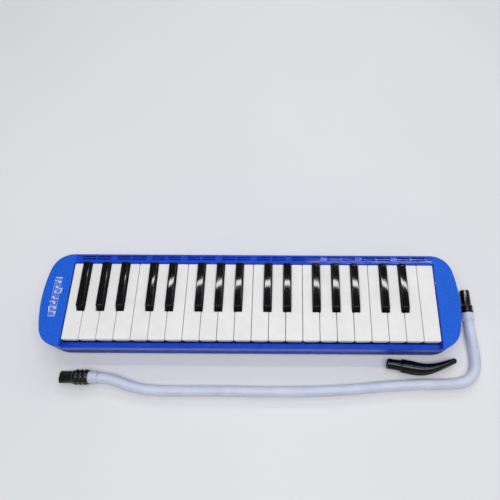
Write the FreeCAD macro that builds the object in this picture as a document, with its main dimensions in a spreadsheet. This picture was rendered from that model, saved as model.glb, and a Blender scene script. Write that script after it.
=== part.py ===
"""A 37-key melodica with its blowing hose and its short mouthpiece, as separate pieces.

X runs from the bass end (-X) to the treble end (+X), Y from the player's edge (-Y) to the
rear edge (+Y) and Z up. The origin is on the surface that the instrument stands on, under the
middle of its case. Sizes are in millimetres.
"""
import FreeCAD, Part
import math
import os
import re

import Sketcher

doc = FreeCAD.newDocument("Melodica")

# --------------------------------------------------------------------------------------
# Driving dimensions. Each one becomes a named cell of the sheet.
# --------------------------------------------------------------------------------------
SIZES = {
    # keyboard, plan
    "key_pitch": 19.2,
    "white_count": 22,
    "keyboard_shift": 2.3,
    "key_gap": 0.5,
    "key_front": -49.4,
    "key_rear": 41.1,
    "black_front": -15.6,
    "black_spacing": 22.4,
    "black_slot": 9.4,
    "black_width": 8.6,
    "black_top_width": 7.8,
    "black_slope": 3.8,
    "black_front_gap": 1.1,
    "key_wall": 1.6,
    # keyboard, heights
    "key_under": 34,
    "key_top": 42,
    "black_top": 47.8,
    "key_roof": 2,
    # pivot, lever and valve pad
    "pivot_back": 26,
    "pivot_height": 29,
    "shaft_radius": 1.25,
    "hub_bore": 1.3,
    "hub_radius": 3,
    "hub_width": 5.6,
    "lever_under": 27,
    "lever_height": 6,
    "lever_rear": 49.8,
    "pad_front": 40.5,
    "pad_length": 8,
    "pad_width": 7,
    "pad_height": 2,
    # case shells
    "half_length": 240,
    "half_depth": 55,
    "case_middle": -2,
    "end_radius": 155,
    "corner_radius": 25,
    "wall": 2.5,
    "foot_height": 3,
    "foot_length": 40,
    "foot_width": 6,
    "floor_height": 2.2,
    "seam_height": 22,
    "case_top": 43,
    "ceiling": 2.4,
    "top_edge": 1.6,
    "bottom_edge": 2.5,
    "cap_wall": 2.5,
    "cap_wall_under": 31.5,
    "opening_half": 211.7,
    "opening_rear": 41.5,
    "rail_rear": -51,
    "rail_top": 33.5,
    # sound slots in the rear strip
    "slot_length": 16,
    "slot_width": 1.4,
    "slot_bar": 2,
    "slot_period": 41.4,
    "slot_groups": 10,
    "slot_row_front": 46.6,
    "slot_row_rear": 49.4,
    # wind chamber, gasket, reed plate and cell block, from the bottom up
    "stack_half": 217,
    "stack_front": 4,
    "stack_rear": 49.6,
    "chamber_top": 14,
    "chamber_floor": 1.6,
    "chamber_wall": 2.2,
    "gasket_height": 0.6,
    "plate_height": 1,
    "block_top": 24,
    "cell_front": 11,
    "cell_rear": 47.5,
    "cell_roof": 2,
    "cell_wall": 2.4,
    "valve_back": 44.5,
    "valve_length": 5,
    "valve_width": 4.4,
    "reed_width": 2,
    "reed_height": 0.25,
    "reed_rear": 44,
    "reed_longest": 30,
    "rivet_radius": 0.6,
    "rivet_head": 1.1,
    # screws
    "screw_radius": 1.2,
    "screw_head": 2.4,
    "screw_clearance": 0.05,
    "boss_radius": 3.5,
    "front_boss_radius": 2.6,
    "end_screw_x": 222,
    "end_screw_y": 34,
    "front_screw_y": -50.5,
    # felts
    "felt_half": 209,
    "felt_front_y": -44,
    "felt_middle_y": -12,
    "felt_depth": 6,
    "felt_height": 2,
    "felt_front_top": 30.2,
    "felt_middle_top": 31.3,
    # blow socket
    "socket_back": 18,
    "socket_height": 13.4,
    "socket_radius": 8,
    "socket_bore": 6,
    "socket_depth": 20,
    "socket_out": 1,
    "duct_radius": 2.5,
    "duct_height": 10.4,
    # drain valve
    "drain_back": 25,
    "drain_height": 10.4,
    "button_radius": 4.5,
    "button_length": 11,
    "stem_radius": 1.2,
    "seal_radius": 3.2,
    "seal_height": 1.5,
    "drain_hole": 1.9,
    # hand strap
    "strap_half": 78,
    "strap_width": 26,
    "strap_height": 1.5,
    "strap_front": 8,
    "plate_length": 14,
    "plate_thick": 0.8,
    "stud_radius": 1.6,
    # hose set
    "hose_radius": 6,
    "cuff_radius": 6.8,
    "cuff_length": 10,
    "nozzle_radius": 5.9,
    "nozzle_length": 18.4,
    "collar_radius": 7.2,
    "collar_length": 9.6,
    "connector_bore": 4,
    "grip_radius": 8.2,
    "grip_ring": 0.7,
    "grip_length": 17,
    "lip_length": 16,
    # short mouthpiece
    "spigot_radius": 5.9,
    "spigot_length": 15.3,
    "bill_height": 8,
}

sheet = doc.addObject("Spreadsheet::Sheet", "Sizes")
for row, (alias, size) in enumerate(SIZES.items(), start=1):
    sheet.set(f"A{row}", alias.replace("_", " "))
    sheet.set(f"B{row}", str(size))
    sheet.setAlias(f"B{row}", alias)
doc.recompute()

ALIAS = re.compile(r"\b(" + "|".join(SIZES) + r")\b")
nodes = []


# --------------------------------------------------------------------------------------
# Helpers. Every size and place is an expression on the sheet's names.
# --------------------------------------------------------------------------------------
def bound(expression):
    """The expression with each size written as a reference to its cell."""
    return ALIAS.sub(r"Sizes.\1", str(expression))


def value(expression):
    """The number that an expression has at the sheet's present values."""
    return float(sheet.evalExpression(ALIAS.sub(r"\1", str(expression))))


def bind(thing, **sizes):
    for name, expression in sizes.items():
        thing.setExpression(name, bound(expression))
    return thing


def place(thing, x=0, y=0, z=0, axis=None, angle=0):
    """Set a piece's placement: its turn as a fixed angle, its position as expressions."""
    if axis is not None:
        thing.Placement = FreeCAD.Placement(FreeCAD.Vector(), FreeCAD.Rotation(axis, angle))
    thing.setExpression("Placement.Base.x", bound(x))
    thing.setExpression("Placement.Base.y", bound(y))
    thing.setExpression("Placement.Base.z", bound(z))
    return thing


ALONG_X = (FreeCAD.Vector(0, 1, 0), 90)
ALONG_Y = (FreeCAD.Vector(1, 0, 0), -90)
ALONG_Z = (None, 0)


def box(name, low, size):
    """A box from its low corner and its three sizes."""
    piece = doc.addObject("Part::Box", name)
    bind(piece, Length=size[0], Width=size[1], Height=size[2])
    return place(piece, *low)


def rod(name, start, radius, length, along=ALONG_Z):
    """A cylinder that starts at a point and runs along +X, +Y or +Z."""
    piece = doc.addObject("Part::Cylinder", name)
    bind(piece, Radius=radius, Height=length)
    return place(piece, *start, axis=along[0], angle=along[1])


def ring(name, centre, radius, wire, along=ALONG_Z):
    """A torus around a point, its axis along +X, +Y or +Z."""
    piece = doc.addObject("Part::Torus", name)
    bind(piece, Radius1=radius, Radius2=wire)
    return place(piece, *centre, axis=along[0], angle=along[1])


def fuse(name, pieces):
    joined = doc.addObject("Part::MultiFuse", name)
    joined.Shapes = pieces
    joined.Refine = True
    return joined


def cut(name, base, tool):
    left = doc.addObject("Part::Cut", name)
    left.Base = base
    left.Tool = tool
    left.Refine = True
    return left


def group(name, pieces):
    """Separate solids that share one node."""
    together = doc.addObject("Part::Compound", name)
    together.Links = pieces
    return together


def node(label, piece):
    """Give a finished piece the name that its file and its node have."""
    piece.Label = label
    nodes.append(piece)
    return piece


def origin_plane(body, role):
    return next(plane for plane in body.Origin.OriginFeatures if plane.Role == role)


def new_sketch(body, name, height, role="XY_Plane"):
    """An empty sketch on one of the body's own planes, moved out to a height."""
    drawing = body.newObject("Sketcher::SketchObject", name)
    drawing.AttachmentSupport = [(origin_plane(body, role), "")]
    drawing.MapMode = "FlatFace"
    drawing.setExpression(".AttachmentOffset.Base.z", bound(height))
    return drawing


def fix(drawing, constraint, expression):
    index = drawing.addConstraint(constraint)
    drawing.setExpression(f"Constraints[{index}]", bound(expression))


def draw_rectangle(drawing, left, low, right, high):
    """A rectangle whose corners are held by expressions."""
    first = drawing.GeometryCount
    x = [value(left), value(right), value(right), value(left)]
    y = [value(low), value(low), value(high), value(high)]
    for i in range(4):
        ends = [FreeCAD.Vector(x[j % 4], y[j % 4], 0) for j in (i, i + 1)]
        drawing.addGeometry(Part.LineSegment(*ends), False)
    for i in range(4):
        drawing.addConstraint(Sketcher.Constraint("Coincident", first + i, 2, first + (i + 1) % 4, 1))
        drawing.addConstraint(Sketcher.Constraint("Vertical" if i % 2 else "Horizontal", first + i))
    fix(drawing, Sketcher.Constraint("DistanceX", -1, 1, first, 1, x[0]), left)
    fix(drawing, Sketcher.Constraint("DistanceX", -1, 1, first + 1, 1, x[1]), right)
    fix(drawing, Sketcher.Constraint("DistanceY", -1, 1, first, 1, y[0]), low)
    fix(drawing, Sketcher.Constraint("DistanceY", -1, 1, first + 2, 1, y[2]), high)


def draw_circle(drawing, x, y, radius):
    centre = FreeCAD.Vector(value(x), value(y), 0)
    circle = Part.Circle(centre, FreeCAD.Vector(0, 0, 1), value(radius))
    index = drawing.addGeometry(circle, False)
    fix(drawing, Sketcher.Constraint("Radius", index, value(radius)), radius)
    fix(drawing, Sketcher.Constraint("DistanceX", -1, 1, index, 3, centre.x), x)
    fix(drawing, Sketcher.Constraint("DistanceY", -1, 1, index, 3, centre.y), y)


def draw_rounded_end(drawing, side, start, inset, anchored=True):
    """One bulged end of the case: two straight stretches, two corner arcs and the end arc.

    side is 1 for the treble end and -1 for the bass end, start is the distance from the
    middle where the straight stretches begin, and inset moves the outline into the wall.
    An end that isn't anchored takes its two outer points from what it is joined to.
    Returns the first and the last line, which begin and end the outline at start.
    """
    depth = value(f"half_depth - {inset}")
    level = value("case_middle")
    big = value(f"end_radius - {inset}")
    small = value(f"corner_radius - {inset}")
    middle = value("half_length - end_radius")
    reach = math.sqrt((big - small) ** 2 - (depth - small) ** 2)
    lean = math.atan2(depth - small, reach)
    up = FreeCAD.Vector(0, 0, 1)

    def arc(x, y, radius, first, last):
        if side < 0:
            x, first, last = -x, math.pi - last, math.pi - first
        return Part.ArcOfCircle(Part.Circle(FreeCAD.Vector(x, level + y, 0), up, radius), first, last)

    def line(x0, x1, y):
        return Part.LineSegment(FreeCAD.Vector(side * x0, level + y, 0),
                                FreeCAD.Vector(side * x1, level + y, 0))

    corner = middle + reach
    base = drawing.GeometryCount
    drawing.addGeometry(line(value(start), corner, -depth), False)
    drawing.addGeometry(arc(corner, small - depth, small, -math.pi / 2, -lean), False)
    drawing.addGeometry(arc(middle, 0, big, -lean, lean), False)
    drawing.addGeometry(arc(corner, depth - small, small, lean, math.pi / 2), False)
    drawing.addGeometry(line(corner, value(start), depth), False)
    # an arc always runs anticlockwise, so on the bass end its two ends change places
    head, tail = (1, 2) if side > 0 else (2, 1)
    links = [(0, 2, 1, head), (1, tail, 2, head), (2, tail, 3, head), (3, tail, 4, 1)]
    for one, one_end, two, two_end in links:
        drawing.addConstraint(Sketcher.Constraint("Tangent", base + one, one_end, base + two, two_end))
    drawing.addConstraint(Sketcher.Constraint("Horizontal", base))
    drawing.addConstraint(Sketcher.Constraint("Horizontal", base + 4))
    drawing.addConstraint(Sketcher.Constraint("Equal", base + 1, base + 3))
    fix(drawing, Sketcher.Constraint("DistanceY", -1, 1, base + 2, 3, level), "case_middle")
    fix(drawing, Sketcher.Constraint("Radius", base + 1, small), f"corner_radius - {inset}")
    fix(drawing, Sketcher.Constraint("Radius", base + 2, big), f"end_radius - {inset}")
    fix(drawing, Sketcher.Constraint("DistanceX", -1, 1, base + 2, 3, side * middle),
        f"{side} * (half_length - end_radius)")
    if anchored:
        outer = side * value(start)
        fix(drawing, Sketcher.Constraint("DistanceY", -1, 1, base, 1, level - depth),
            f"{CASE_FRONT} + {inset}")
        fix(drawing, Sketcher.Constraint("DistanceY", -1, 1, base + 4, 2, level + depth),
            f"{CASE_REAR} - {inset}")
        fix(drawing, Sketcher.Constraint("DistanceX", -1, 1, base, 1, outer), f"{side} * ({start})")
        fix(drawing, Sketcher.Constraint("DistanceX", -1, 1, base + 4, 2, outer), f"{side} * ({start})")
    return base, base + 4


def draw_case_outline(drawing, inset):
    """The whole closed outline of the case, moved into the wall by inset."""
    treble = draw_rounded_end(drawing, 1, 0, inset)
    bass = draw_rounded_end(drawing, -1, 0, inset, anchored=False)
    drawing.addConstraint(Sketcher.Constraint("Coincident", treble[0], 1, bass[0], 1))
    drawing.addConstraint(Sketcher.Constraint("Coincident", treble[1], 2, bass[1], 2))


def pad(body, drawing, length, downward=False):
    feature = body.newObject("PartDesign::Pad", drawing.Name + "Pad")
    feature.Profile = drawing
    feature.Reversed = downward
    bind(feature, Length=length)
    doc.recompute()
    return feature


def pocket(body, drawing, length, upward=True):
    """Cut a sketch into the body, and make sure that it takes material away."""
    before = body.Shape.Volume
    feature = body.newObject("PartDesign::Pocket", drawing.Name + "Pocket")
    feature.Profile = drawing
    feature.Reversed = upward
    bind(feature, Length=length)
    doc.recompute()
    if body.Shape.Volume > before - 1:
        raise RuntimeError(f"{feature.Name} cuts nothing")
    return feature


def round_edges(body, radius, height):
    """Round every edge that lies wholly at one height."""
    base = body.Tip
    level = value(height)
    edges = [
        f"Edge{i}" for i, edge in enumerate(base.Shape.Edges, start=1)
        if abs(edge.BoundBox.ZMin - level) < 0.01 and abs(edge.BoundBox.ZMax - level) < 0.01
    ]
    feature = body.newObject("PartDesign::Fillet", body.Name + "Round")
    feature.Base = (base, edges)
    bind(feature, Radius=radius)
    doc.recompute()
    return feature


# --------------------------------------------------------------------------------------
# Places worked out from the sizes
# --------------------------------------------------------------------------------------
KEYS_LEFT = "(keyboard_shift - white_count * key_pitch / 2)"
FLOOR_TOP = "(foot_height + floor_height)"
GASKET_TOP = "(chamber_top + gasket_height)"
PLATE_TOP = "(chamber_top + gasket_height + plate_height)"
CEILING_UNDER = "(case_top - ceiling)"
CASE_FRONT = "(case_middle - half_depth)"
CASE_REAR = "(case_middle + half_depth)"
OPENING_LEFT = "(keyboard_shift - opening_half)"
OPENING_RIGHT = "(keyboard_shift + opening_half)"
END_SCREWS = [(f"{a} * end_screw_x", f"{b} * end_screw_y") for a in (-1, 1) for b in (-1, 1)]
FRONT_SCREWS = [(x, "front_screw_y") for x in (-160, -60, 60, 160)]

SEMITONES = 37
FIRST_NOTE = 5
NOTE_NAMES = ["c", "cs", "d", "ds", "e", "f", "fs", "g", "gs", "a", "as", "b"]
BLACK_NOTES = (1, 3, 6, 8, 10)


class Lane:
    """The strip of width that one note has at the rear, where all the levers lie side by side.

    From F to B seven notes share the width of four white keys, and from C to E five notes
    share the width of three. The black keys themselves are evenly spaced about the middle of
    their group, so they stand up to half a millimetre beside their levers.
    """

    def __init__(self, semitone):
        note = (FIRST_NOTE + semitone) % 12
        octave, step = divmod(semitone, 12)
        in_f_group = note >= FIRST_NOTE
        whites, lanes = (4, 7) if in_f_group else (3, 5)
        first_white = 7 * octave + (0 if in_f_group else 4)
        index = note if not in_f_group else note - FIRST_NOTE
        lane = f"({whites} * key_pitch / {lanes})"
        start = f"({KEYS_LEFT} + {first_white} * key_pitch)"
        self.semitone = semitone
        self.name = f"{NOTE_NAMES[note]}{3 + (FIRST_NOTE + semitone) // 12}"
        self.black = note in BLACK_NOTES
        self.left = f"({start} + {index} * {lane})"
        self.right = f"({start} + {index + 1} * {lane})"
        self.centre = f"({start} + {index + 0.5} * {lane})"
        self.starts_group = index == 0
        self.ends_group = index == lanes - 1
        self.white_index = first_white + (index + 1) // 2
        self.middle = f"({start} + {whites / 2} * key_pitch)"
        self.step_from_middle = (index - (lanes - 1) / 2) / 2

    def beside(self, steps):
        """Where a black key's middle lies: this note's own, or that of the note before or after."""
        return f"({self.middle} + {self.step_from_middle + steps / 2} * black_spacing)"


LANES = [Lane(semitone) for semitone in range(SEMITONES)]


# --------------------------------------------------------------------------------------
# Keys
# --------------------------------------------------------------------------------------
def lever_pieces(lane):
    """The web, the rear arm, the pad holder and the hub under a key."""
    name = lane.name
    low = f"{lane.centre} - hub_width / 2"
    holder_low = f"{lane.centre} - pad_width / 2"
    web = box(f"web_{name}", (low, "pivot_back - 4", "lever_under"),
              ("hub_width", "key_rear - pivot_back + 3.5", "key_top - key_roof / 2 - lever_under"))
    arm = box(f"arm_{name}", (low, "pivot_back", "lever_under"),
              ("hub_width", "lever_rear - pivot_back", "lever_height"))
    holder = box(f"holder_{name}", (holder_low, "pad_front", "block_top + pad_height"),
                 ("pad_width", "pad_length", "lever_under - block_top - pad_height + 1"))
    hub = rod(f"hub_{name}", (low, "pivot_back", "pivot_height"), "hub_radius", "hub_width", ALONG_X)
    return [web, arm, holder, hub]


def finish_key(lane, shell):
    """Join the lever to the key's shell, bore the hub and add the valve pad."""
    name = lane.name
    joined = fuse(f"joined_{name}", [shell] + lever_pieces(lane))
    bore = rod(f"bore_{name}", (f"{lane.centre} - hub_width", "pivot_back", "pivot_height"),
               "hub_bore", "2 * hub_width", ALONG_X)
    key = cut(f"body_{name}", joined, bore)
    valve_pad = box(f"pad_{name}", (f"{lane.centre} - pad_width / 2", "pad_front", "block_top"),
                    ("pad_width", "pad_length", "pad_height"))
    node(f"key_{name}", group(f"key_{name}", [key, valve_pad]))


def white_key(lane):
    """A hollow white key: the wide front, the narrow tail between the black keys, the lever."""
    name = lane.name
    left = f"({KEYS_LEFT} + {lane.white_index} * key_pitch + key_gap / 2)"
    width = "(key_pitch - key_gap)"
    last = lane.semitone == SEMITONES - 1
    tail_left = left if lane.starts_group else f"({lane.beside(-1)} + black_slot / 2)"
    ends = lane.ends_group or last
    tail_right = f"({left} + {width})" if ends else f"({lane.beside(1)} - black_slot / 2)"
    tail_width = f"({tail_right} - {tail_left})"
    height = "(key_top - key_under)"
    front_length = "(black_front - black_front_gap - key_front)"
    front = box(f"front_{name}", (left, "key_front", "key_under"), (width, front_length, height))
    tail = box(f"tail_{name}", (tail_left, "key_front + 5", "key_under"),
               (tail_width, "key_rear - key_front - 5", height))
    front_hollow = box(f"front_hollow_{name}", (f"{left} + key_wall", "key_front + key_wall", "key_under"),
                       (f"{width} - 2 * key_wall", f"{front_length} - 2 * key_wall", f"{height} - key_roof"))
    tail_hollow = box(f"tail_hollow_{name}", (f"{tail_left} + key_wall", "key_front + 8", "key_under"),
                      (f"{tail_width} - 2 * key_wall", "key_rear - key_front - 8 - key_wall",
                       f"{height} - key_roof"))
    shell = cut(f"shell_{name}", fuse(f"plan_{name}", [front, tail]),
                fuse(f"hollow_{name}", [front_hollow, tail_hollow]))
    finish_key(lane, shell)


def black_key(lane):
    """A black key: a hollow base between the white tails and a tapered top with a sloped front."""
    name = lane.name
    low = f"({lane.beside(0)} - black_width / 2)"
    length = "(key_rear - black_front)"
    base = box(f"base_{name}", (low, "black_front", "key_under"),
               ("black_width", length, "key_top - key_under"))
    # the wedge is drawn lying down, its Y along the height and its Z along the depth
    top = doc.addObject("Part::Wedge", f"top_{name}")
    side = "(black_width - black_top_width) / 2"
    bind(top, Xmin=0, Xmax="black_width", X2min=side, X2max=f"black_width - {side}",
         Ymin=0, Ymax="black_top - key_top", Zmin=0, Zmax=length, Z2min=0,
         Z2max=f"{length} - black_slope")
    place(top, low, "key_rear", "key_top", FreeCAD.Vector(1, 0, 0), 90)
    hollow = box(f"hollow_{name}", (f"{low} + key_wall", "black_front + key_wall", "key_under"),
                 ("black_width - 2 * key_wall", f"{length} - 2 * key_wall", "key_top - key_under"))
    shell = cut(f"shell_{name}", fuse(f"solid_{name}", [base, top]), hollow)
    finish_key(lane, shell)


def keys():
    for lane in LANES:
        if lane.black:
            black_key(lane)
        else:
            white_key(lane)


def key_shaft():
    """The steel rod that all keys turn on."""
    node("key_shaft", rod("key_shaft", ("0 - stack_half - 0.5", "pivot_back", "pivot_height"),
                          "shaft_radius", "2 * stack_half + 1", ALONG_X))


def key_springs():
    """A torsion spring beside each hub: three coils around the shaft and two straight legs."""
    wire = 0.25
    leg_wire = 0.2
    coil_radius = 2.1
    coil_step = 0.45
    leg = 12
    coils = [ring(f"coil{turn}", (turn * coil_step, 0, 0), coil_radius, wire, ALONG_X) for turn in range(3)]
    rear_leg = rod("rear_leg", (0, 0, -coil_radius), leg_wire, leg, ALONG_Y)
    front_leg = rod("front_leg", (2 * coil_step, -leg, coil_radius), leg_wire, leg, ALONG_Y)
    pattern = fuse("spring_pattern", coils + [rear_leg, front_leg])
    doc.recompute()
    springs = []
    for lane in LANES:
        spring = doc.addObject("Part::Feature", f"spring_{lane.name}")
        spring.Shape = pattern.Shape.copy()
        x = value(f"{lane.centre} + hub_width / 2 + 0.7")
        spring.Placement = FreeCAD.Placement(
            FreeCAD.Vector(x, value("pivot_back"), value("pivot_height")), FreeCAD.Rotation())
        springs.append(spring)
    node("key_springs", group("key_springs", springs))


def key_felts():
    """Two long felts that stop the keys at the end of their travel."""
    strips = [
        box(f"felt_{place_name}", ("keyboard_shift - felt_half", y, f"{top} - felt_height"),
            ("2 * felt_half", "felt_depth", "felt_height"))
        for place_name, y, top in (("front", "felt_front_y", "felt_front_top"),
                                   ("middle", "felt_middle_y", "felt_middle_top"))
    ]
    node("key_felts", group("key_felts", strips))


# --------------------------------------------------------------------------------------
# Wind chamber, gasket, reeds and cell block
# --------------------------------------------------------------------------------------
def stack_box(name, z, height, inset=0):
    return box(name, (f"{inset} - stack_half", f"stack_front + {inset}", z),
               (f"2 * stack_half - 2 * {inset}", f"stack_rear - stack_front - 2 * {inset}", height))


def stack_screw_places():
    """The screws that clamp the stack: a row along the front land, clear of the cells."""
    return [(x, "stack_front + 3.6") for x in (-210, -150, -90, -30, 30, 90, 150, 210)]


def screw_lands(prefix, z, height):
    """Round lands inside the wind chamber that the clamping screws go through."""
    return [
        rod(f"{prefix}{i}", (x, y, z), 3, height)
        for i, (x, y) in enumerate(stack_screw_places())
    ]


def screw_holes(prefix, z, height):
    return [
        rod(f"{prefix}{i}", (x, y, z), "screw_radius + screw_clearance", height)
        for i, (x, y) in enumerate(stack_screw_places())
    ]


def wind_chamber():
    """The tray under the reeds: blown air fills it."""
    height = f"chamber_top - {FLOOR_TOP}"
    outside = stack_box("chamber_outside", FLOOR_TOP, height)
    inside = stack_box("chamber_inside", f"{FLOOR_TOP} + chamber_floor", "chamber_top", "chamber_wall")
    tray = cut("chamber_tray", outside, inside)
    solid = fuse("chamber_solid", [tray] + screw_lands("chamber_land", FLOOR_TOP, height))
    duct = rod("chamber_duct", ("0 - stack_half - 1", "socket_back", "duct_height"),
               "duct_radius", "chamber_wall + 2", ALONG_X)
    drain = rod("chamber_drain", ("stack_half - chamber_wall - 1", "drain_back", "drain_height"),
                "drain_hole", "chamber_wall + 2", ALONG_X)
    heads = [
        rod(f"chamber_head{i}", (x, y, 0), "screw_head + 0.2", f"{FLOOR_TOP} + 1.8")
        for i, (x, y) in enumerate(stack_screw_places())
    ]
    holes = screw_holes("chamber_hole", 0, 30)
    node("wind_chamber", cut("wind_chamber", solid, fuse("chamber_tools", [duct, drain] + heads + holes)))


def chamber_gasket():
    """A thin rubber frame between the wind chamber and the reed plate."""
    outside = stack_box("gasket_outside", "chamber_top", "gasket_height", 0.2)
    inside = stack_box("gasket_inside", "chamber_top - 1", 3, "chamber_wall")
    frame = cut("gasket_frame", outside, inside)
    solid = fuse("gasket_solid", [frame] + screw_lands("gasket_land", "chamber_top", "gasket_height"))
    holes = fuse("gasket_holes", screw_holes("gasket_hole", 0, 30))
    node("chamber_gasket", cut("chamber_gasket", solid, holes))


def reed_length(lane):
    """A reed shortens with the square root of its pitch."""
    return f"(reed_longest * {2 ** (-lane.semitone / 24):.4f})"


def reed_plate():
    """The brass plate with one slot for each reed."""
    plate = stack_box("plate_blank", GASKET_TOP, "plate_height", 0.4)
    tools = screw_holes("plate_hole", 0, 30)
    for lane in LANES:
        name = lane.name
        length = reed_length(lane)
        tools.append(box(f"plate_slot_{name}",
                         (f"{lane.centre} - reed_width / 2 - 0.1", f"reed_rear - {length}", "chamber_top"),
                         ("reed_width + 0.2", f"{length} - 4", 5)))
        tools.append(rod(f"plate_rivet_{name}", (lane.centre, "reed_rear - 2", "chamber_top"),
                         "rivet_radius + 0.02", 5))
    node("reed_plate", cut("reed_plate", plate, fuse("plate_tools", tools)))


def reeds():
    """37 spring-brass tongues under their slots, each held at its rear end by a rivet."""
    tongues = []
    for lane in LANES:
        name = lane.name
        length = reed_length(lane)
        blank = box(f"reed_blank_{name}",
                    (f"{lane.centre} - reed_width / 2", f"reed_rear - {length} + 0.2",
                     f"{GASKET_TOP} - reed_height"),
                    ("reed_width", f"{length} - 0.2", "reed_height"))
        hole = rod(f"reed_hole_{name}", (lane.centre, "reed_rear - 2", "chamber_top - 1"),
                   "rivet_radius + 0.02", 4)
        tongues.append(cut(f"reed_{name}", blank, hole))
    node("reeds", group("reeds", tongues))


def reed_rivets():
    rivets = []
    for lane in LANES:
        name = lane.name
        back = "reed_rear - 2"
        under = f"{GASKET_TOP} - reed_height"
        shank = rod(f"rivet_shank_{name}", (lane.centre, back, f"{under} - 0.3"), "rivet_radius",
                    "plate_height + reed_height + 0.6")
        lower = rod(f"rivet_lower_{name}", (lane.centre, back, f"{under} - 0.4"), "rivet_head", 0.4)
        upper = rod(f"rivet_upper_{name}", (lane.centre, back, PLATE_TOP), "rivet_head", 0.4)
        rivets.append(fuse(f"rivet_{name}", [shank, lower, upper]))
    node("reed_rivets", group("reed_rivets", rivets))


def cell_block():
    """The block over the reeds: one cell and one valve hole for each note, and the shaft's posts."""
    block = stack_box("block_blank", PLATE_TOP, f"block_top - {PLATE_TOP}")
    tools = screw_holes("block_hole", 0, "block_top - 2")
    posts = []
    for lane in LANES:
        name = lane.name
        width = f"({lane.right} - {lane.left} - cell_wall)"
        if lane.semitone == SEMITONES - 1:
            width = "(4 * key_pitch / 7 - cell_wall)"
        tools.append(box(f"cell_{name}", (f"{lane.left} + cell_wall / 2", "cell_front", "chamber_top"),
                         (width, "cell_rear - cell_front", "block_top - cell_roof - chamber_top")))
        tools.append(box(f"valve_{name}",
                         (f"{lane.centre} - valve_width / 2", "valve_back - valve_length / 2", "chamber_top"),
                         ("valve_width", "valve_length", "block_top")))
        if lane.ends_group and lane.semitone < SEMITONES - 1:
            posts.append(f"{lane.right} + 0.2")
    posts += ["0 - stack_half", "stack_half - 1.8"]
    uprights = [
        box(f"post{i}", (x, "pivot_back - 3", "block_top - 1"), (1.8, 6, 8)) for i, x in enumerate(posts)
    ]
    solid = fuse("block_solid", [block] + uprights)
    tools.append(rod("post_bore", ("0 - stack_half - 1", "pivot_back", "pivot_height"),
                     "shaft_radius + 0.02", "2 * stack_half + 2", ALONG_X))
    node("cell_block", cut("cell_block", solid, fuse("block_tools", tools)))


def chamber_screws():
    """The screws that clamp the wind chamber, the gasket and the plate under the cell block."""
    head_under = f"({FLOOR_TOP} + 0.2)"
    screws = []
    for i, (x, y) in enumerate(stack_screw_places()):
        head = rod(f"stack_head{i}", (x, y, head_under), "screw_head", 1.6)
        shank = rod(f"stack_shank{i}", (x, y, head_under), "screw_radius", f"block_top - 3 - {head_under}")
        screws.append(fuse(f"stack_screw{i}", [head, shank]))
    node("chamber_screws", group("chamber_screws", screws))


# --------------------------------------------------------------------------------------
# Case
# --------------------------------------------------------------------------------------
def top_case():
    """The upper shell: two end caps, the front rail, and the rear strip with its sound slots."""
    body = doc.addObject("PartDesign::Body", "top_case")
    outline = new_sketch(body, "TopOutline", "seam_height")
    draw_case_outline(outline, 0)
    pad(body, outline, "case_top - seam_height")
    round_edges(body, "top_edge", "case_top")

    hollow = new_sketch(body, "TopHollow", "seam_height")
    draw_case_outline(hollow, "wall")
    pocket(body, hollow, f"{CEILING_UNDER} - seam_height")

    opening = new_sketch(body, "KeyOpening", CEILING_UNDER)
    draw_rectangle(opening, OPENING_LEFT, "rail_rear", OPENING_RIGHT, "opening_rear")
    pocket(body, opening, "ceiling")

    rail = new_sketch(body, "RailTop", "rail_top")
    draw_rectangle(rail, OPENING_LEFT, f"{CASE_FRONT} - 1", OPENING_RIGHT, "rail_rear")
    pocket(body, rail, "case_top - rail_top")

    walls = new_sketch(body, "CapWalls", "cap_wall_under")
    for left, right in ((f"{OPENING_LEFT} - cap_wall", OPENING_LEFT),
                        (OPENING_RIGHT, f"{OPENING_RIGHT} + cap_wall")):
        draw_rectangle(walls, left, f"{CASE_FRONT} + 1", right, f"{CASE_REAR} - 1")
    pad(body, walls, f"{CEILING_UNDER} + 1 - cap_wall_under")

    ledge = new_sketch(body, "RailLedge", "cap_wall_under")
    draw_rectangle(ledge, f"{OPENING_LEFT} - 1", f"{CASE_FRONT} + 1", f"{OPENING_RIGHT} + 1", "rail_rear")
    pad(body, ledge, "rail_top - cap_wall_under")

    bosses = new_sketch(body, "TopBosses", "seam_height")
    for x, y in END_SCREWS:
        draw_circle(bosses, x, y, "boss_radius")
    pad(body, bosses, f"{CEILING_UNDER} + 1 - seam_height")

    lugs = new_sketch(body, "FrontBosses", "seam_height")
    for x, y in FRONT_SCREWS:
        draw_rectangle(lugs, f"{x} - front_boss_radius", f"{CASE_FRONT} + 1", f"{x} + front_boss_radius",
                       f"{y} + front_boss_radius")
    pad(body, lugs, 6)

    holes = new_sketch(body, "TopScrewHoles", "seam_height")
    for x, y in END_SCREWS + FRONT_SCREWS:
        draw_circle(holes, x, y, "screw_radius + screw_clearance")
    pocket(body, holes, 5)

    slots = new_sketch(body, "SoundSlots", CEILING_UNDER)
    first = "(keyboard_shift - (slot_groups - 1) * slot_period / 2 - slot_length - slot_bar / 2)"
    for row in ("slot_row_front", "slot_row_rear"):
        for start in (first, f"({first} + slot_length + slot_bar)"):
            draw_rectangle(slots, start, f"{row} - slot_width / 2", f"{start} + slot_length",
                           f"{row} + slot_width / 2")
    cutter = pocket(body, slots, "ceiling")
    pattern = body.newObject("PartDesign::LinearPattern", "SlotGroups")
    pattern.Originals = [cutter]
    pattern.Direction = (slots, ["H_Axis"])
    bind(pattern, Length="slot_period * (slot_groups - 1)", Occurrences="slot_groups")
    body.Tip = pattern
    doc.recompute()
    node("top_case", body)


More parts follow.
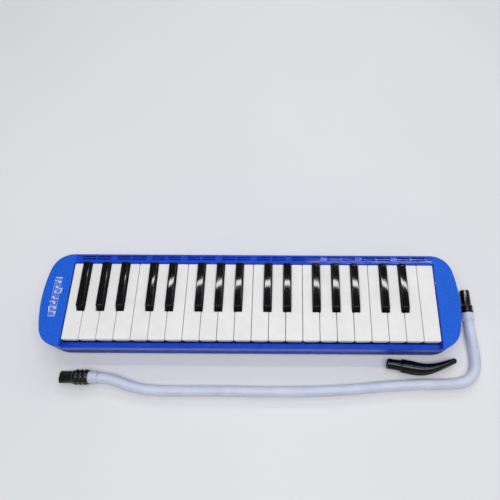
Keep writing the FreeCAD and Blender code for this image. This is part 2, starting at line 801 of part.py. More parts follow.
def bottom_case():
    """The lower shell with its feet, its screw bosses, its felt ribs and the two end holes."""
    body = doc.addObject("PartDesign::Body", "bottom_case")
    outline = new_sketch(body, "BottomOutline", "foot_height")
    draw_case_outline(outline, 0)
    pad(body, outline, "seam_height - foot_height")
    round_edges(body, "bottom_edge", "foot_height")

    hollow = new_sketch(body, "BottomHollow", FLOOR_TOP)
    draw_case_outline(hollow, "wall")
    pocket(body, hollow, f"seam_height - {FLOOR_TOP}")

    # four corner feet and one short bar under the middle
    feet = new_sketch(body, "Feet", 0)
    for x, y in ((-170, -43), (-170, 39), (170, -43), (170, 39), (0, 0)):
        draw_rectangle(feet, f"{x} - foot_length / 2", f"{y} - foot_width / 2",
                       f"{x} + foot_length / 2", f"{y} + foot_width / 2")
    pad(body, feet, "foot_height + 1")

    bosses = new_sketch(body, "BottomBosses", f"{FLOOR_TOP} - 1")
    for x, y in END_SCREWS:
        draw_circle(bosses, x, y, "boss_radius")
    for x, y in FRONT_SCREWS:
        draw_rectangle(bosses, f"{x} - front_boss_radius - 0.6", f"{CASE_FRONT} + 1",
                       f"{x} + front_boss_radius + 0.6", f"{y} + front_boss_radius + 0.6")
    pad(body, bosses, f"seam_height - {FLOOR_TOP} + 1")

    ribs = (("felt_front_y", "felt_front_top"), ("felt_middle_y", "felt_middle_top"))
    for i, (y, top) in enumerate(ribs):
        web = new_sketch(body, f"FeltWeb{i}", f"{FLOOR_TOP} - 1")
        draw_rectangle(web, "keyboard_shift - felt_half", f"{y} + 2", "keyboard_shift + felt_half",
                       f"{y} + 4")
        pad(body, web, f"{top} - felt_height - 1 - {FLOOR_TOP}")
        ledge = new_sketch(body, f"FeltLedge{i}", f"{top} - felt_height - 2")
        draw_rectangle(ledge, "keyboard_shift - felt_half", y, "keyboard_shift + felt_half",
                       f"{y} + felt_depth")
        pad(body, ledge, 2)

    shanks = new_sketch(body, "BottomScrewHoles", "foot_height - 1")
    for x, y in END_SCREWS + FRONT_SCREWS:
        draw_circle(shanks, x, y, "screw_radius + screw_clearance")
    pocket(body, shanks, "seam_height")

    heads = new_sketch(body, "ScrewHeads", "foot_height - 1")
    for x, y in END_SCREWS + FRONT_SCREWS:
        draw_circle(heads, x, y, "screw_head + 0.2")
    pocket(body, heads, 6)

    studs = new_sketch(body, "StrapStuds", "foot_height - 1")
    for side in (-1, 1):
        for offset in (6, 20):
            draw_circle(studs, f"{side} * (strap_half - plate_length / 2)", f"strap_front + {offset}",
                        "stud_radius + screw_clearance")
    pocket(body, studs, "floor_height")

    # holes through the two end walls, drawn on the plane across the case
    for name, side, y, z, radius in (
            ("SocketHole", -1, "socket_back", "socket_height", "socket_radius + 0.05"),
            ("DrainHole", 1, "drain_back", "drain_height", "button_radius + 0.1")):
        drawing = new_sketch(body, name, f"{side} * (half_length - 12)", "YZ_Plane")
        draw_circle(drawing, y, z, radius)
        pocket(body, drawing, 14, upward=side > 0)
    node("bottom_case", body)


def case_screws():
    """Eight screws that hold the two shells together, from below."""
    seat = "(foot_height + 5)"
    screws = []
    for i, (x, y) in enumerate(END_SCREWS + FRONT_SCREWS):
        head = rod(f"case_head{i}", (x, y, f"{seat} - 1.6"), "screw_head", 1.6)
        shank = rod(f"case_shank{i}", (x, y, f"{seat} - 1"), "screw_radius",
                    f"seam_height + 5.5 - {seat}")
        screws.append(fuse(f"case_screw{i}", [head, shank]))
    node("case_screws", group("case_screws", screws))


def hand_strap():
    """A flat leatherette strap under the case, and the two plates that hold its ends."""
    front = "strap_front"
    under = "(foot_height - strap_height)"
    strap = box("strap_blank", ("0 - strap_half", front, under),
                ("2 * strap_half", "strap_width", "strap_height"))
    holes = []
    plates = []
    for i, side in enumerate((-1, 1)):
        centre = f"{side} * (strap_half - plate_length / 2)"
        plate = box(f"plate{i}", (f"{centre} - plate_length / 2", front, f"{under} - plate_thick"),
                    ("plate_length", "strap_width", "plate_thick"))
        studs = []
        for j, offset in enumerate((6, 20)):
            at = (centre, f"{front} + {offset}", f"{under} - plate_thick")
            studs.append(rod(f"stud{i}{j}", at, "stud_radius", "plate_thick + strap_height + 1"))
            holes.append(rod(f"strap_hole{i}{j}", at, "stud_radius + screw_clearance", 6))
        plates.append(fuse(f"strap_plate{i}", [plate] + studs))
    node("hand_strap", cut("hand_strap", strap, fuse("strap_holes", holes)))
    node("strap_plates", group("strap_plates", plates))


# --------------------------------------------------------------------------------------
# Blow socket and drain valve
# --------------------------------------------------------------------------------------
def blow_socket():
    """The socket in the bass end that the mouthpiece or the hose plugs into."""
    length = "(half_length + socket_out - stack_half)"
    start = ("0 - half_length - socket_out", "socket_back", "socket_height")
    outside = rod("socket_outside", start, "socket_radius", length, ALONG_X)
    bore = rod("socket_bore_tool", start, "socket_bore", "socket_depth", ALONG_X)
    duct = rod("socket_duct", ("0 - half_length", "socket_back", "duct_height"), "duct_radius", 30, ALONG_X)
    node("blow_socket", cut("blow_socket", outside, fuse("socket_tools", [bore, duct])))


def drain_valve():
    """The button in the treble end, its spring and the seal that it lifts off inside the tray."""
    back = "drain_back"
    height = "drain_height"
    face = "(half_length - button_length)"
    seat = "(stack_half - chamber_wall)"
    cap = rod("button_cap", (face, back, height), "button_radius", "button_length", ALONG_X)
    stem = rod("button_stem", (f"{seat} - seal_height - 1", back, height), "stem_radius",
               f"{face} - {seat} + seal_height + 2", ALONG_X)
    keeper = rod("button_keeper", (f"{seat} - seal_height - 1", back, height), "stem_radius + 0.8", 1,
                 ALONG_X)
    node("drain_button", fuse("drain_button", [cap, stem, keeper]))

    disc = rod("seal_disc", (f"{seat} - seal_height", back, height), "seal_radius", "seal_height", ALONG_X)
    hole = rod("seal_hole", (f"{seat} - 5", back, height), "stem_radius", 10, ALONG_X)
    node("drain_seal", cut("drain_seal", disc, hole))

    turns = 6
    wire = 0.25
    coil_radius = value("stem_radius") + 1.2
    helix = doc.addObject("Part::Helix", "spring_helix")
    bind(helix, Pitch=f"({face} - stack_half - {2 * wire}) / {turns}",
         Height=f"{face} - stack_half - {2 * wire}", Radius=coil_radius)
    section = doc.addObject("Part::Circle", "spring_section")
    bind(section, Radius=wire)
    section.Placement = FreeCAD.Placement(
        FreeCAD.Vector(coil_radius, 0, 0), FreeCAD.Rotation(FreeCAD.Vector(1, 0, 0), 90))
    coil = doc.addObject("Part::Sweep", "drain_spring")
    coil.Sections = [section]
    coil.Spine = (helix, ["Edge1"])
    coil.Solid = True
    coil.Frenet = True
    place(coil, f"stack_half + {wire}", back, height, *ALONG_X)
    node("drain_spring", coil)


# --------------------------------------------------------------------------------------
# Hose with its connector and its mouthpiece
# --------------------------------------------------------------------------------------
# The hose lies on the same surface as the instrument: down past the treble end, round a tight
# corner and along the front edge. Each point is where two straight runs would meet.
HOSE_ROUTE = [
    (259.8, -6.9, 7.3),
    (259.8, -27.2, 7.3),
    (261.7, -54.9, 6.5),
    (260.4, -71.4, 6.3),
    (256.1, -79.9, 6.2),
    (249.0, -86.1, 6.2),
    (239.9, -89.2, 6.2),
    (225.1, -90.3, 6.2),
    (202.4, -90.6, 6.2),
    (166.6, -92.0, 6.2),
    (130.4, -95.7, 6.2),
    (92.3, -98.7, 6.2),
    (34.2, -100.2, 6.2),
    (-35.7, -99.3, 6.2),
    (-89.5, -100.0, 6.2),
    (-121.3, -98.6, 6.2),
    (-138.3, -94.5, 6.4),
    (-153.2, -89.0, 7.6),
    (-168.1, -85.5, 9.0),
    (-183.5, -85.5, 9.0),
]
ROUTE_SHARE = 0.45


def route_path(points):
    """Straight runs joined by tangent arcs, each as large as its two runs allow."""
    corners = [FreeCAD.Vector(*point) for point in points]
    edges = []
    start = corners[0]
    for before, corner, after in zip(corners, corners[1:], corners[2:]):
        back = before - corner
        ahead = after - corner
        shorter = min(back.Length, ahead.Length)
        turn = math.pi - back.getAngle(ahead)
        radius = ROUTE_SHARE * shorter / math.tan(turn / 2)
        back.normalize()
        ahead.normalize()
        entry = corner + back * (ROUTE_SHARE * shorter)
        leave = corner + ahead * (ROUTE_SHARE * shorter)
        inward = back + ahead
        inward.normalize()
        middle = corner + inward * (radius / math.cos(turn / 2) - radius)
        edges.append(Part.LineSegment(start, entry).toShape())
        edges.append(Part.Arc(entry, middle, leave).toShape())
        print(f"hose turn of {math.degrees(turn):.1f} degrees, radius {radius:.1f} mm")
        start = leave
    edges.append(Part.LineSegment(start, corners[-1]).toShape())
    return Part.Wire(edges)


def hose():
    """The soft blowing hose, as one plain tube with a thicker cuff at each end."""
    path = route_path(HOSE_ROUTE)
    radius = value("hose_radius")
    first = FreeCAD.Vector(*HOSE_ROUTE[0])
    direction = FreeCAD.Vector(*HOSE_ROUTE[1]) - first
    section = Part.Wire([Part.Circle(first, direction, radius).toShape()])
    tube = path.makePipeShell([section], True, False)
    expected = math.pi * radius ** 2 * path.Length
    print(f"hose length {path.Length:.1f} mm, volume {tube.Volume:.0f} of {expected:.0f} mm3")
    cuff_radius = value("cuff_radius")
    cuff_length = value("cuff_length")
    last = FreeCAD.Vector(*HOSE_ROUTE[-1])
    inward = FreeCAD.Vector(*HOSE_ROUTE[-2]) - last
    cuffs = [
        Part.makeCylinder(cuff_radius, cuff_length, first, direction),
        Part.makeCylinder(cuff_radius, cuff_length, last, inward),
    ]
    piece = doc.addObject("Part::Feature", "hose")
    piece.Shape = tube.fuse(cuffs).removeSplitter()
    node("hose", piece)


def hose_connector():
    """The plug on the hose: a plain nozzle for the blow socket and a collar with two rings."""
    x, y, z = HOSE_ROUTE[0]
    collar = rod("connector_collar", (x, y, z), "collar_radius - 0.5", "collar_length", ALONG_Y)
    bands = [
        rod(f"connector_band{i}", (x, y + offset, z), "collar_radius", 2.6, ALONG_Y)
        for i, offset in enumerate((0.6, 5.6))
    ]
    nozzle = rod("connector_nozzle", (x, y, z), "nozzle_radius", "collar_length + nozzle_length", ALONG_Y)
    bore = rod("connector_bore_tool", (x, y - 1, z), "connector_bore", 60, ALONG_Y)
    solid = fuse("connector_solid", [collar, nozzle] + bands)
    node("hose_connector", cut("hose_connector", solid, bore))


def oval(name, x, y, z, across, upright, heading=0, tall=False):
    """An upright oval section whose normal points along a heading in the plan.

    A tall oval has its long axis upright and any other has it level, so that the sections of
    one loft all begin at the same side.
    """
    section = doc.addObject("Part::Ellipse", name)
    major, minor = (upright, across) if tall else (across, upright)
    bind(section, MajorRadius=major, MinorRadius=minor)
    turn = FreeCAD.Rotation(FreeCAD.Vector(0, 0, 1), heading)
    stand = FreeCAD.Rotation(FreeCAD.Vector(0, 1, 0), 90)
    roll = FreeCAD.Rotation(FreeCAD.Vector(0, 0, 1), 0 if tall else 90)
    section.Placement = FreeCAD.Placement(FreeCAD.Vector(x, y, z), turn * stand * roll)
    return section


def loft(name, sections):
    solid = doc.addObject("Part::Loft", name)
    solid.Sections = sections
    solid.Solid = True
    return solid


def hose_mouthpiece():
    """The mouthpiece at the hose's far end: a ribbed grip and a flattened lip end."""
    x, y, z = HOSE_ROUTE[-1]
    grip_end = f"{x} - grip_length"
    grip = rod("grip_core", (grip_end, y, z), "grip_radius", "grip_length", ALONG_X)
    rings = [
        rod(f"grip_ring{i}", (f"{grip_end} + {offset}", y, z), "grip_radius + grip_ring", 2.4, ALONG_X)
        for i, offset in enumerate((2.2, 7.2, 12.2))
    ]
    root = value(grip_end)
    lip = loft("lip_outside", [
        oval("lip_root", root + 0.5, y, z, 7.4, 7.3),
        oval("lip_middle", root - 7, y, z, 6.8, 5.6),
        oval("lip_tip", root - value("lip_length"), y, z, 7.0, 3.8),
    ])
    slot = loft("lip_bore", [
        oval("lip_bore_root", root + 3, y, z, 4.1, 4.0),
        oval("lip_bore_middle", root - 7, y, z, 4.5, 3.3),
        oval("lip_bore_tip", root - value("lip_length") - 1, y, z, 5.4, 2.5),
    ])
    bore = rod("grip_bore", (f"{grip_end} + 1", y, z), "connector_bore + 0.6", 40, ALONG_X)
    solid = fuse("mouthpiece_solid", [grip, lip] + rings)
    node("hose_mouthpiece", cut("hose_mouthpiece", solid, fuse("mouthpiece_tools", [slot, bore])))


# --------------------------------------------------------------------------------------
# Short mouthpiece
# --------------------------------------------------------------------------------------
SHORT_START = (158.1, -67.5, 8.05)
SHORT_HEADING = -9
# distance along X from the start, Y offset, half width in the plan, heading, bore half width
SHORT_SECTIONS = [
    (15.1, -2.4, 7.6, -9, 5.2),
    (27.3, -4.7, 7.8, -11, 4.8),
    (40.9, -6.6, 7.0, 0, 4.0),
    (58.5, -3.7, 5.0, 16.5, 2.8),
    (78.2, 3.2, 3.6, 21.5, 2.0),
]


def short_mouthpiece():
    """The short mouthpiece: a round spigot, a full body and a bent, flattened bill."""
    x, y, z = SHORT_START
    turn = FreeCAD.Rotation(FreeCAD.Vector(0, 0, 1), SHORT_HEADING)
    stand = FreeCAD.Rotation(FreeCAD.Vector(0, 1, 0), 90)
    spigot = doc.addObject("Part::Cylinder", "spigot")
    bind(spigot, Radius="spigot_radius", Height="spigot_length + 1")
    spigot.Placement = FreeCAD.Placement(FreeCAD.Vector(x, y, z), turn * stand)
    spigot_bore = doc.addObject("Part::Cylinder", "spigot_bore")
    bind(spigot_bore, Radius="connector_bore", Height="spigot_length + 3")
    spigot_bore.Placement = FreeCAD.Placement(FreeCAD.Vector(x, y, z), turn * stand)
    outside = []
    inside = []
    for i, (ahead, side, half, heading, bore_half) in enumerate(SHORT_SECTIONS):
        upright = "bill_height - 0.2" if i == 0 else "bill_height"
        bore_upright = 5.4 if i < 2 else 5.6
        step = 1 if i == 0 else 0
        centre = (x + ahead, y + side, z)
        outside.append(oval(f"bill_section{i}", *centre, half, upright, heading, True))
        centre = (x + ahead + step, y + side, z)
        inside.append(oval(f"bill_bore{i}", *centre, bore_half, bore_upright, heading, True))
    body = loft("bill_outside", outside)
    bore = loft("bill_inside", inside)
    solid = fuse("short_solid", [spigot, body])
    node("short_mouthpiece", cut("short_mouthpiece", solid, fuse("short_tools", [spigot_bore, bore])))


# --------------------------------------------------------------------------------------
# Build, check and write
# --------------------------------------------------------------------------------------
def check_document():
    for thing in doc.Objects:
        if "Invalid" in thing.State or "Error" in thing.State:
            raise RuntimeError(f"{thing.Name} failed: {thing.State}")
    for piece in nodes:
        shape = piece.Shape
        if shape.isNull() or not shape.isValid() or not shape.Solids:
            raise RuntimeError(f"{piece.Label} has no valid solid")


def write_steps():
    os.makedirs("parts", exist_ok=True)
    for piece in nodes:
        piece.Shape.exportStep(f"parts/{piece.Label}.step")


top_case()
bottom_case()
keys()
key_shaft()
key_springs()
key_felts()
wind_chamber()
chamber_gasket()
reed_plate()
reeds()
reed_rivets()
cell_block()
chamber_screws()
case_screws()
hand_strap()
blow_socket()
drain_valve()
hose()
hose_connector()
hose_mouthpiece()
short_mouthpiece()
doc.recompute()
check_document()
write_steps()
print(f"{len(nodes)} nodes, {sum(len(piece.Shape.Solids) for piece in nodes)} solids")
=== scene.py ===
"""Visual model of the melodica, its blowing hose and its short mouthpiece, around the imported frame."""
import math

import bmesh
import bpy
from mathutils import Matrix, Vector


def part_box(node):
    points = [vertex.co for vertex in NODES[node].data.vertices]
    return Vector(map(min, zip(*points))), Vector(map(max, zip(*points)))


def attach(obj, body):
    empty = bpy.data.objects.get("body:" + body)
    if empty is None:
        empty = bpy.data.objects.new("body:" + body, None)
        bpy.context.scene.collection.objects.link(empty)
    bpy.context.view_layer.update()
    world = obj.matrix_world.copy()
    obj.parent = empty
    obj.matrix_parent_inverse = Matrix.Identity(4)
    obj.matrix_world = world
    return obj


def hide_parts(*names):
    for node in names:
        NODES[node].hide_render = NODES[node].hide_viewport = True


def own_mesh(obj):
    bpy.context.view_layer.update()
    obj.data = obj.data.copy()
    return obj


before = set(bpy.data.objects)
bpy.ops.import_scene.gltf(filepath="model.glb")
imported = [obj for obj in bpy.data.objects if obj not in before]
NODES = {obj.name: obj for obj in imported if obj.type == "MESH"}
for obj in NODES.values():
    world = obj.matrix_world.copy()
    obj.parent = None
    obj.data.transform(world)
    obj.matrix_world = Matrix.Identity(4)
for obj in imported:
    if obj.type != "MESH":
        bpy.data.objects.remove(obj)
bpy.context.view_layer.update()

MM = 0.001
scene = bpy.context.scene

# ----------------------------------------------------------------------------------------
# Camera
# ----------------------------------------------------------------------------------------
CAMERA_PLACE = Vector((42.03, -164.63, 557.47)) * MM
CAMERA_PITCH = math.radians(66.468)
CAMERA_YAW = math.radians(-0.683)
CAMERA_ROLL = math.radians(-0.308)
SENSOR_WIDTH = 36
LENS = 33.768
SIDEWAYS_SHIFT = -0.07


def add_camera():
    """A camera over the player's edge that looks down along the pitch angle."""
    ahead = Vector((math.sin(CAMERA_YAW) * math.cos(CAMERA_PITCH),
                    math.cos(CAMERA_YAW) * math.cos(CAMERA_PITCH), -math.sin(CAMERA_PITCH)))
    side = ahead.cross(Vector((0, 0, 1))).normalized()
    up = side.cross(ahead)
    right = side * math.cos(CAMERA_ROLL) + up * math.sin(CAMERA_ROLL)
    top = up * math.cos(CAMERA_ROLL) - side * math.sin(CAMERA_ROLL)
    data = bpy.data.cameras.new("camera")
    data.sensor_width = SENSOR_WIDTH
    data.sensor_fit = "HORIZONTAL"
    data.lens = LENS
    data.shift_x = SIDEWAYS_SHIFT
    data.clip_start = 0.01
    camera = bpy.data.objects.new("camera", data)
    scene.collection.objects.link(camera)
    turn = Matrix((right, top, -ahead)).transposed()
    camera.matrix_world = Matrix.Translation(CAMERA_PLACE) @ turn.to_4x4()
    scene.camera = camera


add_camera()

# ----------------------------------------------------------------------------------------
# Materials
# ----------------------------------------------------------------------------------------
def linear(red, green, blue):
    """A screen colour from 0 to 255 as a linear colour."""
    out = []
    for channel in (red, green, blue):
        c = channel / 255
        out.append(c / 12.92 if c <= 0.04045 else ((c + 0.055) / 1.055) ** 2.4)
    return (*out, 1)


class Surface:
    """A node material under construction, with short names for the nodes that all of them use."""

    def __init__(self, name, **constants):
        self.material = bpy.data.materials.new(name)
        self.material.use_nodes = True
        self.tree = self.material.node_tree
        self.shader = self.tree.nodes["Principled BSDF"]
        for key, setting in constants.items():
            self.shader.inputs[key.replace("_", " ")].default_value = setting
        self.place = self.add("ShaderNodeTexCoord").outputs["Object"]

    def add(self, kind, **settings):
        made = self.tree.nodes.new(kind)
        for key, setting in settings.items():
            setattr(made, key, setting)
        return made

    def link(self, source, target):
        self.tree.links.new(source, target)

    def stretched(self, x, y, z):
        """The place, scaled by axis, so that a noise on it is drawn out."""
        mapping = self.add("ShaderNodeMapping")
        mapping.inputs["Scale"].default_value = (x, y, z)
        self.link(self.place, mapping.inputs["Vector"])
        return mapping.outputs["Vector"]

    def noise(self, size, detail=3, vector=None, roughness=0.55):
        """Noise with features of about size metres."""
        made = self.add("ShaderNodeTexNoise")
        made.inputs["Scale"].default_value = 1 / size
        made.inputs["Detail"].default_value = detail
        made.inputs["Roughness"].default_value = roughness
        self.link(self.place if vector is None else vector, made.inputs["Vector"])
        return made.outputs["Fac"]

    def cells(self, size):
        """Distance to the middle of cells of about size metres."""
        made = self.add("ShaderNodeTexVoronoi")
        made.inputs["Scale"].default_value = 1 / size
        self.link(self.place, made.inputs["Vector"])
        return made.outputs["Distance"]

    def ramp(self, source, stops):
        """A colour for each value, from stops of (value, colour)."""
        made = self.add("ShaderNodeValToRGB")
        made.color_ramp.elements[0].position, made.color_ramp.elements[0].color = stops[0]
        made.color_ramp.elements[1].position, made.color_ramp.elements[1].color = stops[-1]
        for position, colour in stops[1:-1]:
            made.color_ramp.elements.new(position).color = colour
        self.link(source, made.inputs["Fac"])
        return made.outputs["Color"]

    def spread(self, source, low, high, start=0.3, stop=0.7):
        """The source's range from start to stop, mapped to the range from low to high."""
        made = self.add("ShaderNodeMapRange")
        for name, setting in (("From Min", start), ("From Max", stop), ("To Min", low), ("To Max", high)):
            made.inputs[name].default_value = setting
        self.link(source, made.inputs["Value"])
        return made.outputs["Result"]

    def mix(self, factor, first, second):
        """A blend of two colours, each a socket or a fixed value."""
        made = self.add("ShaderNodeMix", data_type="RGBA")
        for socket, source in ((0, factor), (6, first), (7, second)):
            if hasattr(source, "links"):
                self.link(source, made.inputs[socket])
            else:
                made.inputs[socket].default_value = source
        return made.outputs[2]

    def axis(self, index):
        """The place's X, Y or Z."""
        made = self.add("ShaderNodeSeparateXYZ")
        self.link(self.place, made.inputs["Vector"])
        return made.outputs[index]

    def colour(self, source):
        self.link(source, self.shader.inputs["Base Color"])

    def roughness(self, source):
        self.link(source, self.shader.inputs["Roughness"])

    def bump(self, layers):
        """Bumps stacked on each other: each layer is a height, its depth in metres and its strength."""
        last = None
        for source, depth, strength in layers:
            made = self.add("ShaderNodeBump")
            made.inputs["Distance"].default_value = depth
            made.inputs["Strength"].default_value = strength
            self.link(source, made.inputs["Height"])
            if last is not None:
                self.link(last, made.inputs["Normal"])
            last = made.outputs["Normal"]
        self.link(last, self.shader.inputs["Normal"])

    def scuffed(self, colour, light, amount=0.3):
        """The colour with a few rubbed, slightly lighter patches."""
        patches = self.spread(self.noise(0.03, 8, roughness=0.75), 0, amount, 0.58, 0.72)
        return self.mix(patches, colour, light)


def case_plastic(name, main, dark, light, grain):
    """Moulded ABS with a fine spark-eroded grain and a satin gloss."""
    s = Surface(name, Specular_IOR_Level=0.1)
    shade = s.ramp(s.noise(0.0011, 5), [(0.32, dark), (0.5, main), (0.7, light)])
    broad = s.spread(s.noise(0.06, 2), 0, 0.35)
    s.colour(s.scuffed(s.mix(broad, shade, main), light))
    s.roughness(s.spread(s.noise(0.004, 4), 0.42, 0.56))
    s.bump([(s.noise(0.0006, 4), 0.00012, grain), (s.noise(0.03, 2), 0.0004, 0.05)])
    return s.material


def cover_plastic():
    """Grained satin end caps, and a polished surround along the keyboard whose darker blue is painted
    shade.
    """
    s = Surface("case_blue", Specular_IOR_Level=0.13, Coat_Roughness=0.05)
    across = s.spread(s.axis(0), 0, 1, -HALF_LENGTH, HALF_LENGTH)
    first = (SURROUND_LEFT + HALF_LENGTH) / (2 * HALF_LENGTH)
    last = (SURROUND_RIGHT + HALF_LENGTH) / (2 * HALF_LENGTH)
    step = 0.0005
    white, black = (1, 1, 1, 1), (0, 0, 0, 1)
    on_cap = s.ramp(across, [(first - step, white), (first + step, black),
                             (last - step, black), (last + step, white)])
    speckle = s.noise(0.0011, 5)
    cap = s.ramp(speckle, [(0.3, linear(14, 80, 200)), (0.5, linear(24, 92, 212)),
                           (0.7, linear(56, 120, 228))])
    # painted shade: the surround along the keyboard gets a darker blue than the end caps
    shaded_surround = s.ramp(s.noise(0.01, 4), [(0.32, linear(14, 62, 190)), (0.7, linear(22, 73, 204))])
    s.link(s.spread(on_cap, 0.3, 0.0, 0, 1), s.shader.inputs["Coat Weight"])
    s.colour(s.scuffed(s.mix(on_cap, shaded_surround, cap), linear(60, 122, 230), 0.25))
    surround_roughness = s.spread(s.noise(0.004, 4), 0.34, 0.42)
    cap_roughness = s.spread(s.noise(0.004, 4), 0.34, 0.46)
    s.roughness(s.mix(on_cap, surround_roughness, cap_roughness))
    s.bump([(s.mix(on_cap, (0.5, 0.5, 0.5, 1), s.noise(0.0006, 4)), 0.00012, 0.5),
            (s.noise(0.02, 2), 0.0005, 0.12)])
    return s.material


def key_plastic(name, dark, light, roughness, ripple, coat, specular):
    """Polished plastic: nearly even colour, faint mould ripples and finger marks."""
    s = Surface(name, Coat_Weight=coat, Coat_Roughness=0.04, Specular_IOR_Level=specular)
    s.colour(s.ramp(s.noise(0.018, 3), [(0.3, dark), (0.7, light)]))
    s.roughness(s.spread(s.noise(0.006, 5), *roughness))
    s.bump([(s.noise(0.012, 1), 0.0006, ripple), (s.noise(0.0009, 3), 0.00003, 0.05)])
    return s.material


def metal(name, colour, light, grain_axis, roughness):
    """Drawn or stamped metal with fine scratches along one axis and dull spots."""
    s = Surface(name, Metallic=1.0)
    lines = s.noise(0.0006, 3, s.stretched(*grain_axis))
    s.colour(s.ramp(s.noise(0.008, 4), [(0.35, colour), (0.65, light)]))
    s.roughness(s.spread(lines, *roughness))
    s.bump([(lines, 0.00005, 0.25)])
    return s.material


def matte_plastic(name, colour, light, roughness, grain):
    """A dull surface with a fine grain, for plastic, rubber, ink and thread."""
    s = Surface(name)
    s.colour(s.ramp(s.noise(0.01, 4), [(0.35, colour), (0.68, light)]))
    s.roughness(s.spread(s.noise(0.003, 3), *roughness))
    s.bump([(s.noise(0.0006, 3), 0.00008, grain)])
    return s.material


def felt_material():
    """Red felt with a fuzzy, uneven surface."""
    s = Surface("felt", Sheen_Weight=0.5, Sheen_Roughness=0.5)
    s.colour(s.ramp(s.noise(0.0016, 6), [(0.3, linear(96, 14, 20)), (0.7, linear(150, 34, 40))]))
    s.roughness(s.spread(s.noise(0.001, 3), 0.85, 1.0))
    s.bump([(s.noise(0.0007, 6, roughness=0.8), 0.0004, 0.7)])
    return s.material


def leather_material():
    """Black leatherette with embossed pores."""
    s = Surface("strap_leatherette")
    pores = s.cells(0.0011)
    s.colour(s.ramp(s.noise(0.004, 5), [(0.3, linear(22, 22, 24)), (0.7, linear(38, 37, 40))]))
    s.roughness(s.spread(pores, 0.42, 0.62, 0.1, 0.6))
    s.bump([(pores, 0.00025, 0.55), (s.noise(0.006, 4), 0.0004, 0.2)])
    return s.material


def hose_material():
    """Milky soft vinyl: light passes a little way into it."""
    s = Surface("hose_vinyl", Subsurface_Weight=0.35, Subsurface_Scale=0.004, Coat_Weight=0.12,
                Coat_Roughness=0.25)
    s.shader.inputs["Subsurface Radius"].default_value = (1.0, 1.0, 1.1)
    s.colour(s.ramp(s.noise(0.02, 3), [(0.3, linear(196, 203, 221)), (0.7, linear(211, 217, 233))]))
    s.roughness(s.spread(s.noise(0.005, 4), 0.34, 0.48))
    s.bump([(s.noise(0.008, 2), 0.0005, 0.08), (s.noise(0.0008, 3), 0.00004, 0.12)])
    return s.material


def floor_material():
    """Plain pale studio paper."""
    s = Surface("floor_paper")
    s.colour(s.ramp(s.noise(0.4, 3), [(0.3, linear(228, 229, 232)), (0.7, linear(233, 234, 236))]))
    s.roughness(s.spread(s.noise(0.05, 3), 0.75, 0.9))
    s.bump([(s.noise(0.002, 4), 0.0001, 0.1)])
    return s.material


HALF_LENGTH = 240 * MM
SURROUND_LEFT = -209.4 * MM
SURROUND_RIGHT = 214 * MM
CASE_TOP = cover_plastic()
CASE_UNDER = case_plastic("case_under", main=linear(14, 56, 170), dark=linear(8, 48, 158),
                          light=linear(30, 72, 186), grain=0.35)
WHITE = key_plastic("white_key", linear(231, 230, 229), linear(237, 237, 237),
                    roughness=(0.3, 0.42), ripple=0.05, coat=0, specular=0.35)
BLACK = key_plastic("black_key", linear(9, 8, 11), linear(16, 14, 18),
                    roughness=(0.03, 0.05), ripple=0.035, coat=0.1, specular=0.26)
BLACK_SIDE = key_plastic("black_key_side", linear(17, 15, 19), linear(24, 22, 26),
                         roughness=(0.4, 0.52), ripple=0.1, coat=0, specular=0.03)
GLOSS_BLACK = key_plastic("mouthpiece_black", linear(8, 7, 12), linear(14, 13, 20),
                          roughness=(0.06, 0.1), ripple=0.08, coat=0.15, specular=0.35)
INNER = matte_plastic("inner_plastic", linear(44, 46, 50), linear(58, 60, 64),
                      roughness=(0.5, 0.68), grain=0.2)
STEEL = metal("steel", linear(176, 178, 182), linear(204, 206, 210),
              grain_axis=(1, 12, 12), roughness=(0.22, 0.4))
BRASS = metal("reed_brass", linear(196, 160, 84), linear(220, 188, 112),
              grain_axis=(10, 1, 10), roughness=(0.28, 0.5))
RUBBER = matte_plastic("black_rubber", linear(24, 24, 25), linear(36, 36, 37),
                       roughness=(0.7, 0.88), grain=0.4)
FELT = felt_material()
PAD_FELT = matte_plastic("valve_pad", linear(150, 140, 120), linear(176, 166, 146),
                         roughness=(0.85, 0.95), grain=0.6)
LEATHER = leather_material()
HOSE = hose_material()
DECAL = matte_plastic("decal_ink", linear(222, 228, 244), linear(240, 244, 252),
                      roughness=(0.4, 0.55), grain=0.1)
THREAD = matte_plastic("strap_thread", linear(60, 60, 64), linear(84, 84, 90),
                       roughness=(0.7, 0.85), grain=0.4)


# ----------------------------------------------------------------------------------------
# Mesh helpers
# ----------------------------------------------------------------------------------------
def finish_mesh(name, bm, materials, smooth=True, weighted=True):
    """Turn the bmesh into an object with even normals and face-weighted shading."""
    bmesh.ops.recalc_face_normals(bm, faces=bm.faces)
    mesh = bpy.data.meshes.new(name)
    bm.to_mesh(mesh)
    bm.free()
    for material in materials:
        mesh.materials.append(material)
    for face in mesh.polygons:
        face.use_smooth = smooth
    made = bpy.data.objects.new(name, mesh)
    scene.collection.objects.link(made)
    if weighted:
        shade = made.modifiers.new("even_shading", "WEIGHTED_NORMAL")
        shade.mode = "FACE_AREA"
        shade.weight = 60
    return made


def settle(made, body, slot, *replaced):
    """Tie the piece to its body, and hide the nodes that it replaces. The slot is not used."""
    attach(made, body)
    if replaced:
        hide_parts(*replaced)
    return made


def skin(bm, rings, material=0, closed_start=True, closed_end=True):
    """Join rings with the same number of points, and cap the two ends."""
    rows = [[bm.verts.new(point) for point in ring] for ring in rings]
    count = len(rows[0])
    faces = []
    for one, two in zip(rows, rows[1:]):
        for i in range(count):
            j = (i + 1) % count
            faces.append(bm.faces.new((one[i], one[j], two[j], two[i])))
    if closed_start:
        faces.append(bm.faces.new(rows[0][::-1]))
    if closed_end:
        faces.append(bm.faces.new(rows[-1]))
    for face in faces:
        face.material_index = material


def tube_of_rings(bm, rings):
    """Join rings into a closed loop, from the outside round to the bore."""
    rows = [[bm.verts.new(point) for point in ring] for ring in rings]
    count = len(rows[0])
    for one, two in zip(rows, rows[1:] + rows[:1]):
        for i in range(count):
            j = (i + 1) % count
            bm.faces.new((one[i], one[j], two[j], two[i]))


